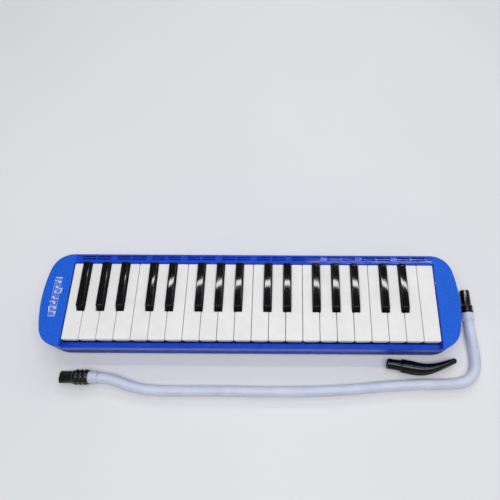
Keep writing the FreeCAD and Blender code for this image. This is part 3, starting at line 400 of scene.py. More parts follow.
def rounded_outline(corners, steps=4):
    """Points and outward normals around a right-angled outline with rounded corners.

    corners are (x, y, radius), anticlockwise. Each point is (x, y, nx, ny), and moving every
    point back along its normal insets the whole outline evenly.
    """
    out = []
    count = len(corners)
    for i, (x, y, radius) in enumerate(corners):
        before, after = corners[i - 1], corners[(i + 1) % count]
        run_in = Vector((x - before[0], y - before[1])).normalized()
        run_out = Vector((after[0] - x, after[1] - y)).normalized()
        normal_in = Vector((run_in.y, -run_in.x))
        normal_out = Vector((run_out.y, -run_out.x))
        convex = run_in.x * run_out.y - run_in.y * run_out.x > 0
        if not convex or radius <= 0:
            out.append((x, y, normal_in.x + normal_out.x, normal_in.y + normal_out.y))
            continue
        centre = Vector((x, y)) - radius * (normal_in + normal_out)
        for k in range(steps + 1):
            angle = math.pi / 2 * k / steps
            normal = normal_in * math.cos(angle) + normal_out * math.sin(angle)
            out.append((centre.x + radius * normal.x, centre.y + radius * normal.y, normal.x, normal.y))
    return out


def inset_ring(outline, inset, z):
    """The outline at one level, moved inwards."""
    return [(x - inset * nx, y - inset * ny, z) for x, y, nx, ny in outline]


def edge_profile(radius, steps=3):
    """Inset and drop of each step around a rounded edge, from the side to the top."""
    angles = [math.pi / 2 * k / steps for k in range(steps + 1)]
    return [(radius * (1 - math.cos(a)), radius * (1 - math.sin(a))) for a in angles]


def block(bm, low, high, radius, material=0):
    """A rectangular block with rounded edges all round."""
    corners = [(low[0], low[1]), (high[0], low[1]), (high[0], high[1]), (low[0], high[1])]
    outline = rounded_outline([(x, y, radius) for x, y in corners], 2)
    edge = edge_profile(radius, 2)
    rings = [inset_ring(outline, inset, low[2] + drop) for inset, drop in reversed(edge)]
    rings += [inset_ring(outline, inset, high[2] - drop) for inset, drop in edge]
    skin(bm, rings, material)


def frame_along(direction):
    """A matrix whose Z runs along a direction."""
    ahead = Vector(direction).normalized()
    side = Vector((0, 0, 1)).cross(ahead)
    if side.length < 1e-6:
        side = Vector((1, 0, 0))
    side.normalize()
    return Matrix((side, ahead.cross(side), ahead)).transposed().to_4x4()


def turned_rings(origin, direction, profile, segments=48):
    """Rings around an axis, from a profile of (along, radius) in millimetres."""
    turn = Matrix.Translation(Vector(origin)) @ frame_along(direction)
    angles = [2 * math.pi * i / segments for i in range(segments)]
    rings = []
    for along, radius in profile:
        r = radius * MM
        rings.append([turn @ Vector((r * math.cos(a), r * math.sin(a), along * MM)) for a in angles])
    return rings


def oval_ring(x, y, z, across, upright, heading, count):
    """An upright oval whose normal points along a heading in the plan, in degrees."""
    angle = math.radians(heading)
    side = (-math.sin(angle), math.cos(angle))
    ring = []
    for i in range(count):
        t = 2 * math.pi * i / count
        a = across * math.cos(t)
        b = upright * math.sin(t)
        ring.append((x + a * side[0], y + a * side[1], z + b))
    return ring


# ----------------------------------------------------------------------------------------
# Hose
# ----------------------------------------------------------------------------------------
HOSE_ROUTE = [
    (0.2598, -0.0069, 0.0073),
    (0.2598, -0.0272, 0.0073),
    (0.2617, -0.0549, 0.0065),
    (0.2604, -0.0714, 0.0063),
    (0.2561, -0.0799, 0.0062),
    (0.2490, -0.0861, 0.0062),
    (0.2399, -0.0892, 0.0062),
    (0.2251, -0.0903, 0.0062),
    (0.2024, -0.0906, 0.0062),
    (0.1666, -0.0920, 0.0062),
    (0.1304, -0.0957, 0.0062),
    (0.0923, -0.0987, 0.0062),
    (0.0342, -0.1002, 0.0062),
    (-0.0357, -0.0993, 0.0062),
    (-0.0895, -0.1000, 0.0062),
    (-0.1213, -0.0986, 0.0062),
    (-0.1383, -0.0945, 0.0064),
    (-0.1532, -0.0890, 0.0076),
    (-0.1681, -0.0855, 0.0090),
    (-0.1835, -0.0855, 0.0090),
]
HOSE_RADIUS = 6 * MM


def add_hose():
    """The hose as one bevelled spline along its route."""
    data = bpy.data.curves.new("soft_hose", "CURVE")
    data.dimensions = "3D"
    spline = data.splines.new("NURBS")
    spline.points.add(len(HOSE_ROUTE) - 1)
    for point, place in zip(spline.points, HOSE_ROUTE):
        point.co = (*place, 1)
    spline.order_u = 3
    spline.use_endpoint_u = True
    spline.resolution_u = 10
    data.bevel_depth = HOSE_RADIUS
    data.bevel_resolution = 8
    data.use_fill_caps = True
    data.materials.append(HOSE)
    made = bpy.data.objects.new("soft_hose", data)
    scene.collection.objects.link(made)
    return settle(made, "hose_set", "hose_milky", "hose")


def add_cuffs():
    """The hose's two thicker ends, each with a bulge or fine rings moulded on."""
    start = HOSE_ROUTE[0]
    bm = bmesh.new()
    profile = [(0.0, 4.2), (0.0, 6.2), (0.3, 6.45), (6.2, 6.4), (6.6, 6.5), (6.9, 6.9), (7.3, 7.15),
               (8.4, 7.15), (8.8, 6.9), (9.1, 6.45), (9.6, 6.3), (10.8, 6.15), (11.2, 5.7), (8.0, 4.2)]
    tube_of_rings(bm, turned_rings(start, (0, -1, 0), profile))
    near = finish_mesh("hose_cuff_plug_end", bm, [HOSE])
    end = HOSE_ROUTE[-1]
    bm = bmesh.new()
    profile = [(0.0, 4.2), (0.0, 6.4), (0.3, 6.7)]
    for ring in (1.6, 4.4, 7.2):
        profile += [(ring, 6.7), (ring + 0.35, 6.95), (ring + 0.9, 6.95), (ring + 1.25, 6.7)]
    profile += [(9.4, 6.65), (10.2, 6.2), (10.8, 5.7), (8.0, 4.2)]
    tube_of_rings(bm, turned_rings(end, (1, 0, 0), profile))
    far = finish_mesh("hose_cuff_mouth_end", bm, [HOSE])
    for made in (near, far):
        settle(made, "hose_set", "hose_milky")
    return near, far


def add_connector():
    """The plug: a nozzle with a slight taper and a collar with two bands, bored through."""
    start = HOSE_ROUTE[0]
    length = (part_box("hose_connector")[1].y - start[1]) / MM
    profile = [(0.0, 4.0), (0.0, 6.5), (0.25, 6.85), (0.6, 7.15), (2.9, 7.2), (3.2, 6.95), (3.4, 6.7),
               (5.2, 6.7), (5.4, 6.95), (5.7, 7.2), (8.0, 7.15), (8.4, 6.9), (8.8, 6.6), (9.4, 6.3),
               (9.6, 5.95), (10.0, 5.9), (length - 1.0, 5.85), (length - 0.45, 5.7), (length, 5.2),
               (length, 4.3), (length - 0.4, 4.0), (length - 8, 3.95)]
    bm = bmesh.new()
    tube_of_rings(bm, turned_rings(start, (0, 1, 0), profile, 56))
    made = finish_mesh("plug_with_collar", bm, [GLOSS_BLACK])
    return settle(made, "hose_set", "mouthpiece_black", "hose_connector")


GRIP_LENGTH = 17 * MM
GRIP_POINTS = 72
FLUTES = 18


def add_hose_mouthpiece():
    """A ribbed, fluted grip and a lip end that flattens to a slot."""
    x, y, z = HOSE_ROUTE[-1]
    root = x - GRIP_LENGTH
    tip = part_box("hose_mouthpiece")[0].x

    def grip_ring(along, radius, flute):
        ring = []
        for i in range(GRIP_POINTS):
            t = 2 * math.pi * i / GRIP_POINTS
            r = radius - flute * (0.5 - 0.5 * math.cos(FLUTES * t))
            ring.append((x - along, y + r * math.cos(t), z + r * math.sin(t)))
        return ring

    def lip_ring(place, across, upright):
        return oval_ring(place, y, z, across * MM, upright * MM, 0, GRIP_POINTS)

    profile = [(0.0, 7.6, 0), (0.25, 8.0, 0), (0.8, 8.2, 0)]
    for start in (1.9, 6.9, 11.9):
        profile += [(start, 8.15, 0), (start + 0.35, 8.55, 0.25), (start + 0.8, 8.88, 0.5),
                    (start + 1.8, 8.88, 0.5), (start + 2.3, 8.55, 0.25), (start + 2.7, 8.15, 0),
                    (start + 3.8, 8.1, 0)]
    profile += [(16.6, 8.0, 0), (17.0, 7.7, 0)]
    rings = [grip_ring(along * MM, radius * MM, flute * MM) for along, radius, flute in profile]
    outside = [(0.1, 7.4, 7.3), (1.2, 7.25, 7.0), (3.5, 7.0, 6.4), (7.0, 6.8, 5.6), (11.0, 6.85, 4.7),
               (14.5, 7.0, 4.0), (15.4, 6.9, 3.75), (15.85, 6.6, 3.4)]
    bore = [(15.6, 5.3, 2.4), (7.0, 4.5, 3.3), (-3.0, 4.2, 4.1)]
    rings += [lip_ring(root - ahead * MM, across, upright) for ahead, across, upright in outside]
    rings += [lip_ring(tip, 6.1, 3.0), lip_ring(tip, 5.6, 2.6)]
    rings += [lip_ring(root - ahead * MM, across, upright) for ahead, across, upright in bore]
    rings.append(lip_ring(x, 4.4, 4.4))
    bm = bmesh.new()
    tube_of_rings(bm, rings)
    made = finish_mesh("ribbed_mouthpiece", bm, [GLOSS_BLACK])
    return settle(made, "hose_set", "mouthpiece_black", "hose_mouthpiece")


hose = add_hose()
cuffs = add_cuffs()
plug = add_connector()
mouthpiece = add_hose_mouthpiece()

# ----------------------------------------------------------------------------------------
# Short mouthpiece
# ----------------------------------------------------------------------------------------
SHORT_START = Vector((158.1, -67.5, 8.05)) * MM
SHORT_POINTS = 56
# each section is its distance along X, sideways offset, half width and half height in millimetres,
# and its heading in degrees
SHORT_OUTSIDE = [
    (0.0, 0.00, 5.3, 5.3, -9), (0.3, -0.05, 5.7, 5.7, -9), (0.9, -0.15, 5.9, 5.9, -9),
    (8.1, -1.31, 5.9, 5.9, -9), (14.7, -2.38, 5.9, 5.9, -9.1), (15.1, -2.46, 6.3, 6.4, -9.1),
    (15.5, -2.52, 7.2, 7.4, -9.1), (16.3, -2.68, 7.6, 7.8, -9.1), (18.1, -3.04, 7.7, 7.9, -10.1),
    (22.2, -3.81, 7.8, 8, -10.6), (27.2, -4.74, 7.8, 8, -10.1), (31.7, -5.56, 7.6, 8, -8.2),
    (36.3, -6.24, 7.35, 8, -4.2), (40.8, -6.61, 7, 8, -0.2), (45.3, -6.43, 6.5, 8, 4.8),
    (50.4, -5.66, 5.9, 8, 10.2), (54.9, -4.68, 5.35, 8, 14.2), (59.5, -3.40, 4.85, 8, 17.2),
    (64.5, -1.73, 4.4, 8, 19.2), (69.5, 0.04, 4.05, 8, 20.6), (74.1, 1.67, 3.75, 8, 21.6),
    (77.0, 2.76, 3.6, 7.95, 21.6), (77.8, 3.05, 3.35, 7.7, 21.6), (78.2, 3.20, 2.9, 7.2, 21.6),
]
SHORT_BORE = [
    (78.2, 3.20, 2.3, 6.2, 21.6), (77.6, 3.00, 2, 5.7, 21.6), (58.4, -3.70, 2.8, 5.6, 16.7),
    (40.8, -6.61, 4, 5.6, -0.2), (27.2, -4.74, 4.8, 5.4, -10.1), (16.1, -2.63, 5.2, 5.4, -9.1),
    (14.6, -2.37, 4.1, 4.1, -9.1), (0.4, -0.06, 4, 4, -9), (0.0, 0.00, 4.4, 4.4, -9),
]


def add_short_mouthpiece():
    """A round spigot, a collar and a body that bends and narrows to an upright lip slot."""
    rings = []
    for ahead, side, across, upright, heading in SHORT_OUTSIDE + SHORT_BORE:
        place = SHORT_START + Vector((ahead, side, 0)) * MM
        rings.append(oval_ring(*place, across * MM, upright * MM, heading, SHORT_POINTS))
    bm = bmesh.new()
    tube_of_rings(bm, rings)
    made = finish_mesh("bent_mouthpiece", bm, [GLOSS_BLACK])
    settle(made, "mouthpiece", "mouthpiece_black", "short_mouthpiece")


add_short_mouthpiece()

# ----------------------------------------------------------------------------------------
# Keys
# ----------------------------------------------------------------------------------------
NOTE_NAMES = ["c", "cs", "d", "ds", "e", "f", "fs", "g", "gs", "a", "as", "b"]
BLACK_NOTES = (1, 3, 6, 8, 10)
FIRST_NOTE = 5
FIRST_OCTAVE = 3
NOTE_COUNT = 37
KEY_GAP = 0.5 * MM
WHITE_COUNT = 22
KEYS_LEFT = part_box("key_f3")[0].x - KEY_GAP / 2
KEYS_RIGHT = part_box("key_f6")[1].x + KEY_GAP / 2
PITCH = (KEYS_RIGHT - KEYS_LEFT) / WHITE_COUNT
KEY_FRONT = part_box("key_f3")[0].y
KEY_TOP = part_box("key_f3")[1].z
BLACK_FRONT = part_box("key_fs3")[0].y
BLACK_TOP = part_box("key_fs3")[1].z
BLACK_SPACING = 7 * PITCH / 6
BLACK_SLOT = 9.4 * MM
KEY_UNDER = 34 * MM
KEY_REAR = 41.1 * MM
PIVOT = Vector((0, 26, 29)) * MM


def lanes():
    """Each note's name and colour, its lever's middle, its white key's index, and where the black
    keys stand that are its own, the one before it and the one after it."""
    out = []
    for semitone in range(NOTE_COUNT):
        note = (FIRST_NOTE + semitone) % 12
        octave = semitone // 12
        in_f_group = note >= FIRST_NOTE
        whites, count = (4, 7) if in_f_group else (3, 5)
        first_white = 7 * octave + (0 if in_f_group else 4)
        index = note - FIRST_NOTE if in_f_group else note
        width = whites * PITCH / count
        left = KEYS_LEFT + first_white * PITCH + index * width
        middle = KEYS_LEFT + (first_white + whites / 2) * PITCH
        step = (index - (count - 1) / 2) / 2
        out.append({
            "name": f"{NOTE_NAMES[note]}{FIRST_OCTAVE + (FIRST_NOTE + semitone) // 12}",
            "black": note in BLACK_NOTES,
            "centre": left + width / 2,
            "first": index == 0,
            "last": index == count - 1 or semitone == NOTE_COUNT - 1,
            "white": first_white + (index + 1) // 2,
            "black_middles": [middle + (step + side / 2) * BLACK_SPACING for side in (-1, 0, 1)],
        })
    return out


LEVER_HALF = 2.8 * MM
PAD_HALF = 3.5 * MM
PAD_FRONT = 40.5 * MM
PAD_REAR = 48.5 * MM
LEVER_UNDER = 27 * MM
HUB_PROFILE = [(0, 1.3), (0, 2.8), (0.2, 3), (5.4, 3), (5.6, 2.8), (5.6, 1.3)]


def add_lever(bm, centre):
    """The web, the rear arm, the pad holder with its pad, and the hub around the shaft."""
    left, right = centre - LEVER_HALF, centre + LEVER_HALF
    pad_left, pad_right = centre - PAD_HALF, centre + PAD_HALF
    block(bm, (left, 22 * MM, LEVER_UNDER), (right, 40.6 * MM, 41 * MM), 0.3 * MM)
    block(bm, (left, 26 * MM, LEVER_UNDER), (right, 49.8 * MM, 33 * MM), 0.4 * MM)
    block(bm, (pad_left, PAD_FRONT, 26 * MM), (pad_right, PAD_REAR, 28 * MM), 0.3 * MM)
    block(bm, (pad_left, PAD_FRONT, 24 * MM), (pad_right, PAD_REAR, 26 * MM), 0.35 * MM, 1)
    tube_of_rings(bm, turned_rings((left, PIVOT.y, PIVOT.z), (1, 0, 0), HUB_PROFILE, 24))


WHITE_CORNER = 0.95 * MM
WHITE_EDGE = 0.85 * MM
WHITE_WALL = 3.4 * MM
WHITE_CEILING = 2 * MM
HOLLOW_RISE = 0.6 * MM
NOTCH_GAP = 1.1 * MM
SMALLEST_NOTCH = 0.3 * MM
SHARP = 0.05 * MM
FRONT_ROUND = 4.5 * MM
FRONT_STEPS = 6
FRONT_FADE = 9 * MM
FADE_STEPS = 6
FRONT_PULL = 0.98


def white_key(lane):
    """A hollow white key whose front lip has rounded lower corners."""
    left = KEYS_LEFT + lane["white"] * PITCH + KEY_GAP / 2
    right = left + PITCH - KEY_GAP
    tail_left = left if lane["first"] else lane["black_middles"][0] + BLACK_SLOT / 2
    tail_right = right if lane["last"] else lane["black_middles"][2] - BLACK_SLOT / 2
    middle = (left + right) / 2

    def plan(inset):
        """The key's outline, with extra points where the rounding behind the lip fades out."""
        turn = max(WHITE_CORNER - inset, SHARP)
        front = KEY_FRONT + inset
        rear = KEY_REAR - inset
        notch = BLACK_FRONT - NOTCH_GAP - inset
        corners = [(left + inset, front, turn), (right - inset, front, turn)]
        if right - tail_right > SMALLEST_NOTCH:
            corners += [(right - inset, notch, turn), (tail_right - inset, notch, 0)]
        corners += [(tail_right - inset, rear, turn), (tail_left + inset, rear, turn)]
        if tail_left - left > SMALLEST_NOTCH:
            corners += [(tail_left + inset, notch, 0), (left + inset, notch, turn)]
        outline = rounded_outline(corners)
        points = []
        for i, point in enumerate(outline):
            points.append(point)
            after = outline[(i + 1) % len(outline)]
            if abs(point[0] - after[0]) < 1e-7 and min(point[1], after[1]) < front + turn * 1.1:
                shares = [k / FADE_STEPS for k in range(1, FADE_STEPS + 1)]
                for share in (shares if after[1] > point[1] else shares[::-1]):
                    y = front + WHITE_CORNER + share * FRONT_FADE
                    points.append((point[0], y, point[2], point[3]))
        return points

    outside = plan(0)
    hollow = plan(WHITE_WALL)

    def lower_ring(turn):
        """The outside ring at an angle up the front's rounding, pulled in near the lip."""
        z = KEY_UNDER + FRONT_ROUND * (1 - math.cos(turn))
        pull = FRONT_ROUND * (1 - math.sin(turn)) * FRONT_PULL
        ring = []
        for x, y, nx, ny in outside:
            fade = min(1.0, max(0.0, 1 - (y - KEY_FRONT - WHITE_CORNER) / FRONT_FADE))
            share = fade * fade * (3 - 2 * fade)
            ring.append((x + math.copysign(pull * share, middle - x), y, z))
        return ring

    rings = [inset_ring(hollow, 0, z) for z in (KEY_TOP - WHITE_CEILING, KEY_UNDER + HOLLOW_RISE)]
    rings += [lower_ring(math.pi / 2 * k / FRONT_STEPS) for k in range(FRONT_STEPS + 1)]
    rings += [inset_ring(outside, inset, KEY_TOP - drop) for inset, drop in edge_profile(WHITE_EDGE)]
    bm = bmesh.new()
    skin(bm, rings)
    add_lever(bm, lane["centre"])
    made = finish_mesh(f"white_key_{lane['name']}", bm, [WHITE, PAD_FELT])
    settle(made, f"key_{lane['name']}", "white_key", f"key_{lane['name']}")


BLACK_WIDTH = 8.6 * MM
BLACK_TOP_WIDTH = 7.8 * MM
BLACK_SLOPE = 3.8 * MM
BLACK_EDGE = 0.8 * MM
BLACK_WALL = 1.6 * MM
BLACK_FRONT_CORNER = 1.1 * MM
BLACK_REAR_CORNER = 0.4 * MM
CROWN = 0.05 * MM
# how far in from the edge each step of the crown is, in millimetres, and its share of the rise
CROWN_STEPS = ((1.5, 0.55), (2.4, 0.88), (3.1, 0.98), (3.6, 1.0))


def black_key(lane):
    """A tapered black key with rounded long edges, a sloped front and a faintly crowned top."""
    centre = lane["black_middles"][1]
    rise = BLACK_TOP - KEY_TOP

    def outline(inset, z, level=None):
        """The key's outline at height z, with the taper that it has at a level."""
        up = max(0.0, ((z if level is None else level) - KEY_TOP) / rise)
        half = BLACK_WIDTH / 2 - (BLACK_WIDTH - BLACK_TOP_WIDTH) / 2 * up - inset
        front = BLACK_FRONT + BLACK_SLOPE * up + inset
        rear = KEY_REAR - inset
        front_round = max(BLACK_FRONT_CORNER - inset, SHARP)
        rear_round = max(BLACK_REAR_CORNER - inset, SHARP)
        corners = [(centre - half, front, front_round), (centre + half, front, front_round),
                   (centre + half, rear, rear_round), (centre - half, rear, rear_round)]
        return inset_ring(rounded_outline(corners), 0, z)

    top = BLACK_TOP - CROWN
    cap = [outline(inset, top - drop) for inset, drop in edge_profile(BLACK_EDGE, 5)]
    cap += [outline(inset * MM, top + CROWN * lift, top) for inset, lift in CROWN_STEPS]
    sides = [outline(BLACK_WALL, KEY_TOP), outline(BLACK_WALL, KEY_UNDER)]
    sides += [outline(0, KEY_UNDER), outline(0, KEY_TOP), cap[0]]
    bm = bmesh.new()
    skin(bm, sides, material=2, closed_end=False)
    skin(bm, cap, closed_start=False)
    bmesh.ops.remove_doubles(bm, verts=bm.verts, dist=1e-7)
    add_lever(bm, lane["centre"])
    made = finish_mesh(f"black_key_{lane['name']}", bm, [BLACK, PAD_FELT, BLACK_SIDE])
    settle(made, f"key_{lane['name']}", "black_key", f"key_{lane['name']}")


for lane in lanes():
    if lane["black"]:
        black_key(lane)
    else:
        white_key(lane)


# ----------------------------------------------------------------------------------------
# Case: the CAD shells with softened edges
# ----------------------------------------------------------------------------------------
BEVEL_FROM = math.radians(32)


def dress(name, material, bevel=None):
    """Give a CAD node its material and, where it shows, slightly rounded edges."""
    made = NODES[name]
    made.data.materials.clear()
    made.data.materials.append(material)
    if bevel:
        weld = made.modifiers.new("weld", "WELD")
        weld.merge_threshold = 0.00001
        soft = made.modifiers.new("soft_edges", "BEVEL")
        soft.width = bevel
        soft.segments = 3
        soft.limit_method = "ANGLE"
        soft.angle_limit = BEVEL_FROM
        soft.miter_outer = "MITER_ARC"
        soft.use_clamp_overlap = True
        shade = made.modifiers.new("even_shading", "WEIGHTED_NORMAL")
        shade.mode = "FACE_AREA"


def shorten_drain_spring():
    """Give the drain spring a mesh of its own."""
    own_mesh(NODES["drain_spring"])


dress("top_case", CASE_TOP, 0.35 * MM)
dress("bottom_case", CASE_UNDER, 0.3 * MM)
dress("blow_socket", GLOSS_BLACK, 0.5 * MM)
dress("drain_button", GLOSS_BLACK, 0.8 * MM)
for name, material in {
    "wind_chamber": INNER, "cell_block": INNER, "chamber_gasket": RUBBER, "reed_plate": BRASS,
    "reeds": BRASS, "reed_rivets": BRASS, "chamber_screws": STEEL, "key_shaft": STEEL,
    "key_springs": STEEL, "drain_spring": STEEL, "drain_seal": RUBBER,
}.items():
    dress(name, material)
shorten_drain_spring()


# ----------------------------------------------------------------------------------------
# Underside: strap, plates and screws; and the felts under the keys
# ----------------------------------------------------------------------------------------
STITCH_INSET = 2.2 * MM
STITCH_COUNT = 30
STITCH_PITCH = 4 * MM
FIRST_STITCH = 18 * MM
STITCH_PROFILE = [(0.0, 0.12), (0.2, 0.24), (1.4, 0.28), (2.6, 0.24), (2.8, 0.12)]
STRAP_ALONG = 80
STRAP_ACROSS = 14


def softened(distance, reach):
    """How far a soft edge is drawn back, at a distance from it."""
    return 0.45 * MM * max(0.0, 1 - distance / reach) ** 2


def add_strap():
    """A leatherette strap, puffed between two grooves along its long edges."""
    low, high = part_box("hand_strap")
    length, width = high.x - low.x, high.y - low.y
    under, over = [], []
    bm = bmesh.new()
    for k in range(STRAP_ACROSS + 1):
        v = k / STRAP_ACROSS
        edge = min(v, 1 - v) * width
        groove = 0.16 * MM * math.exp(-((edge - STITCH_INSET) / (0.5 * MM)) ** 2)
        row = []
        for i in range(STRAP_ALONG + 1):
            u = i / STRAP_ALONG
            soft = max(softened(edge, 0.9 * MM), softened(min(u, 1 - u) * length, 1.2 * MM))
            wave = 0.04 * MM * math.sin(23 * u + 3 * v) * math.sin(9 * v + 1)
            row.append((low.x + length * u, low.y + width * v, low.z + groove + soft + abs(wave)))
        under.append([bm.verts.new(point) for point in row])
        over.append([bm.verts.new((x, y, high.z - 0.02 * MM)) for x, y, z in row])
    for k in range(STRAP_ACROSS):
        for i in range(STRAP_ALONG):
            bm.faces.new((under[k][i], under[k + 1][i], under[k + 1][i + 1], under[k][i + 1]))
            bm.faces.new((over[k][i], over[k][i + 1], over[k + 1][i + 1], over[k + 1][i]))
    rim = [(0, i) for i in range(STRAP_ALONG)]
    rim += [(k, STRAP_ALONG) for k in range(STRAP_ACROSS)]
    rim += [(STRAP_ACROSS, i) for i in range(STRAP_ALONG, 0, -1)]
    rim += [(k, 0) for k in range(STRAP_ACROSS, 0, -1)]
    for (k, i), (m, j) in zip(rim, rim[1:] + rim[:1]):
        bm.faces.new((under[k][i], under[m][j], over[m][j], over[k][i]))
    strap = finish_mesh("leatherette_strap", bm, [LEATHER], weighted=False)
    settle(strap, "case", "strap", "hand_strap")


def add_stitches():
    """Short thick threads that lie in the strap's two grooves."""
    low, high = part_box("hand_strap")
    bm = bmesh.new()
    for y in (low.y + STITCH_INSET, high.y - STITCH_INSET):
        for i in range(STITCH_COUNT):
            start = (low.x + FIRST_STITCH + i * STITCH_PITCH, y, low.z + 0.14 * MM)
            skin(bm, turned_rings(start, (1, 0, 0), STITCH_PROFILE, 8))
    settle(finish_mesh("strap_stitches", bm, [THREAD], weighted=False), "case", "strap")


PLATE_THICK = 0.8 * MM
PLATE_LENGTH = 14 * MM
PLATE_CORNER = 2.2 * MM
RIVET_OFFSETS = (6 * MM, 20 * MM)
RIVET_HEAD = [(0.0, 2.6), (0.15, 2.55), (0.33, 2.1), (0.42, 1.4), (0.45, 0.5)]
RIVET_SHANK = [(0.0, 1.6), (3.2, 1.6)]


def add_strap_plates():
    """Two stamped plates, each with two domed rivet heads."""
    low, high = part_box("strap_plates")
    bm = bmesh.new()
    for left in (low.x, high.x - PLATE_LENGTH):
        right = left + PLATE_LENGTH
        corners = [(left, low.y), (right, low.y), (right, high.y), (left, high.y)]
        outline = rounded_outline([(x, y, PLATE_CORNER) for x, y in corners], 5)
        rings = [inset_ring(outline, 0, low.z + PLATE_THICK)]
        rings += [inset_ring(outline, inset, low.z + drop) for inset, drop in edge_profile(0.3 * MM)]
        skin(bm, rings)
        for offset in RIVET_OFFSETS:
            x, y = left + PLATE_LENGTH / 2, low.y + offset
            skin(bm, turned_rings((x, y, low.z + 0.02 * MM), (0, 0, -1), RIVET_HEAD, 28))
            skin(bm, turned_rings((x, y, low.z), (0, 0, 1), RIVET_SHANK, 20))
    settle(finish_mesh("riveted_plates", bm, [STEEL]), "case", "steel", "strap_plates")


SCREW_PLACES = [(x, y) for x in (-222, 222) for y in (-34, 34)]
SCREW_PLACES += [(x, -50.5) for x in (-160, -60, 60, 160)]
SCREW_POINTS = 48


def add_case_screws():
    """Pan-head screws with a cross recess, driven in from below."""
    low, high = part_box("case_screws")
    angles = [2 * math.pi * (i + 0.5) / SCREW_POINTS for i in range(SCREW_POINTS)]

    def cross(angle, length, half):
        """The radius of a cross with arms of that length and half width."""
        c, s = max(abs(math.cos(angle)), 1e-6), max(abs(math.sin(angle)), 1e-6)
        return max(min(length / c, half / s), min(length / s, half / c))

    # height, and the radius of a circle or the arm length and half width of a cross
    sections = [(high.z, 0.5), (high.z - 1.2 * MM, 1.15), (low.z + 1.6 * MM, 1.15), (low.z + 1.6 * MM, 2.4),
                (low.z + 0.5 * MM, 2.35), (low.z + 0.15 * MM, 2.05), (low.z, 1.6),
                (low.z, 1.35, 0.33), (low.z + 1.0 * MM, 0.8, 0.22)]
    bm = bmesh.new()
    for x, y in SCREW_PLACES:
        rings = []
        for z, *sizes in sections:
            radii = [cross(a, *sizes) if len(sizes) == 2 else sizes[0] for a in angles]
            rings.append([((x + r * math.cos(a)) * MM, (y + r * math.sin(a)) * MM, z)
                          for a, r in zip(angles, radii)])
        skin(bm, rings)
    settle(finish_mesh("cross_head_screws", bm, [STEEL]), "case", "steel", "case_screws")


FELT_DEPTH = 6 * MM
FELT_THICK = 2 * MM
FELT_STRIPS = ((-44 * MM, 30.2 * MM), (-12 * MM, 31.3 * MM))
FELT_STEPS = 210
FELT_POINTS = 16
FELT_SQUARENESS = 0.35


def add_felts():
    """Two woven felt strips with a soft, slightly uneven top."""
    low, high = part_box("key_felts")
    bm = bmesh.new()
    for front, top in FELT_STRIPS:
        rings = []
        for i in range(FELT_STEPS + 1):
            x = low.x + (high.x - low.x) * i / FELT_STEPS
            ring = []
            for k in range(FELT_POINTS):
                angle = 2 * math.pi * (k + 0.5) / FELT_POINTS
                c, s = math.cos(angle), math.sin(angle)
                a = FELT_DEPTH / 2 * math.copysign(abs(c) ** FELT_SQUARENESS, c)
                b = FELT_THICK / 2 * math.copysign(abs(s) ** FELT_SQUARENESS, s)
                full = 1 - 0.02 * (2 + math.sin(i * 1.7 + k * 2.3) + math.sin(i * 0.61 + k))
                ring.append((x, front + FELT_DEPTH / 2 + a * full, top - FELT_THICK / 2 + b * full))
            rings.append(ring)
        skin(bm, rings)
    settle(finish_mesh("felt_strips", bm, [FELT], weighted=False), "case", "felt", "key_felts")


add_strap()
add_stitches()
add_strap_plates()
add_case_screws()
add_felts()


# ----------------------------------------------------------------------------------------
# Decal
# ----------------------------------------------------------------------------------------
DECAL_CENTRE = Vector((-224.0, -0.3)) * MM
DECAL_SUNK = 0.02 * MM
DECAL_THICK = 0.06 * MM
# the decal's own sizes are in millimetres
STAFF_HALF = 23
STAFF_SPACING = 1.9
LINE_HALF = 0.11
STEM_HALF = 0.28
BEAM_HALF = 0.6
HEAD_POINTS = 20
HEAD_LEAN = math.radians(22)


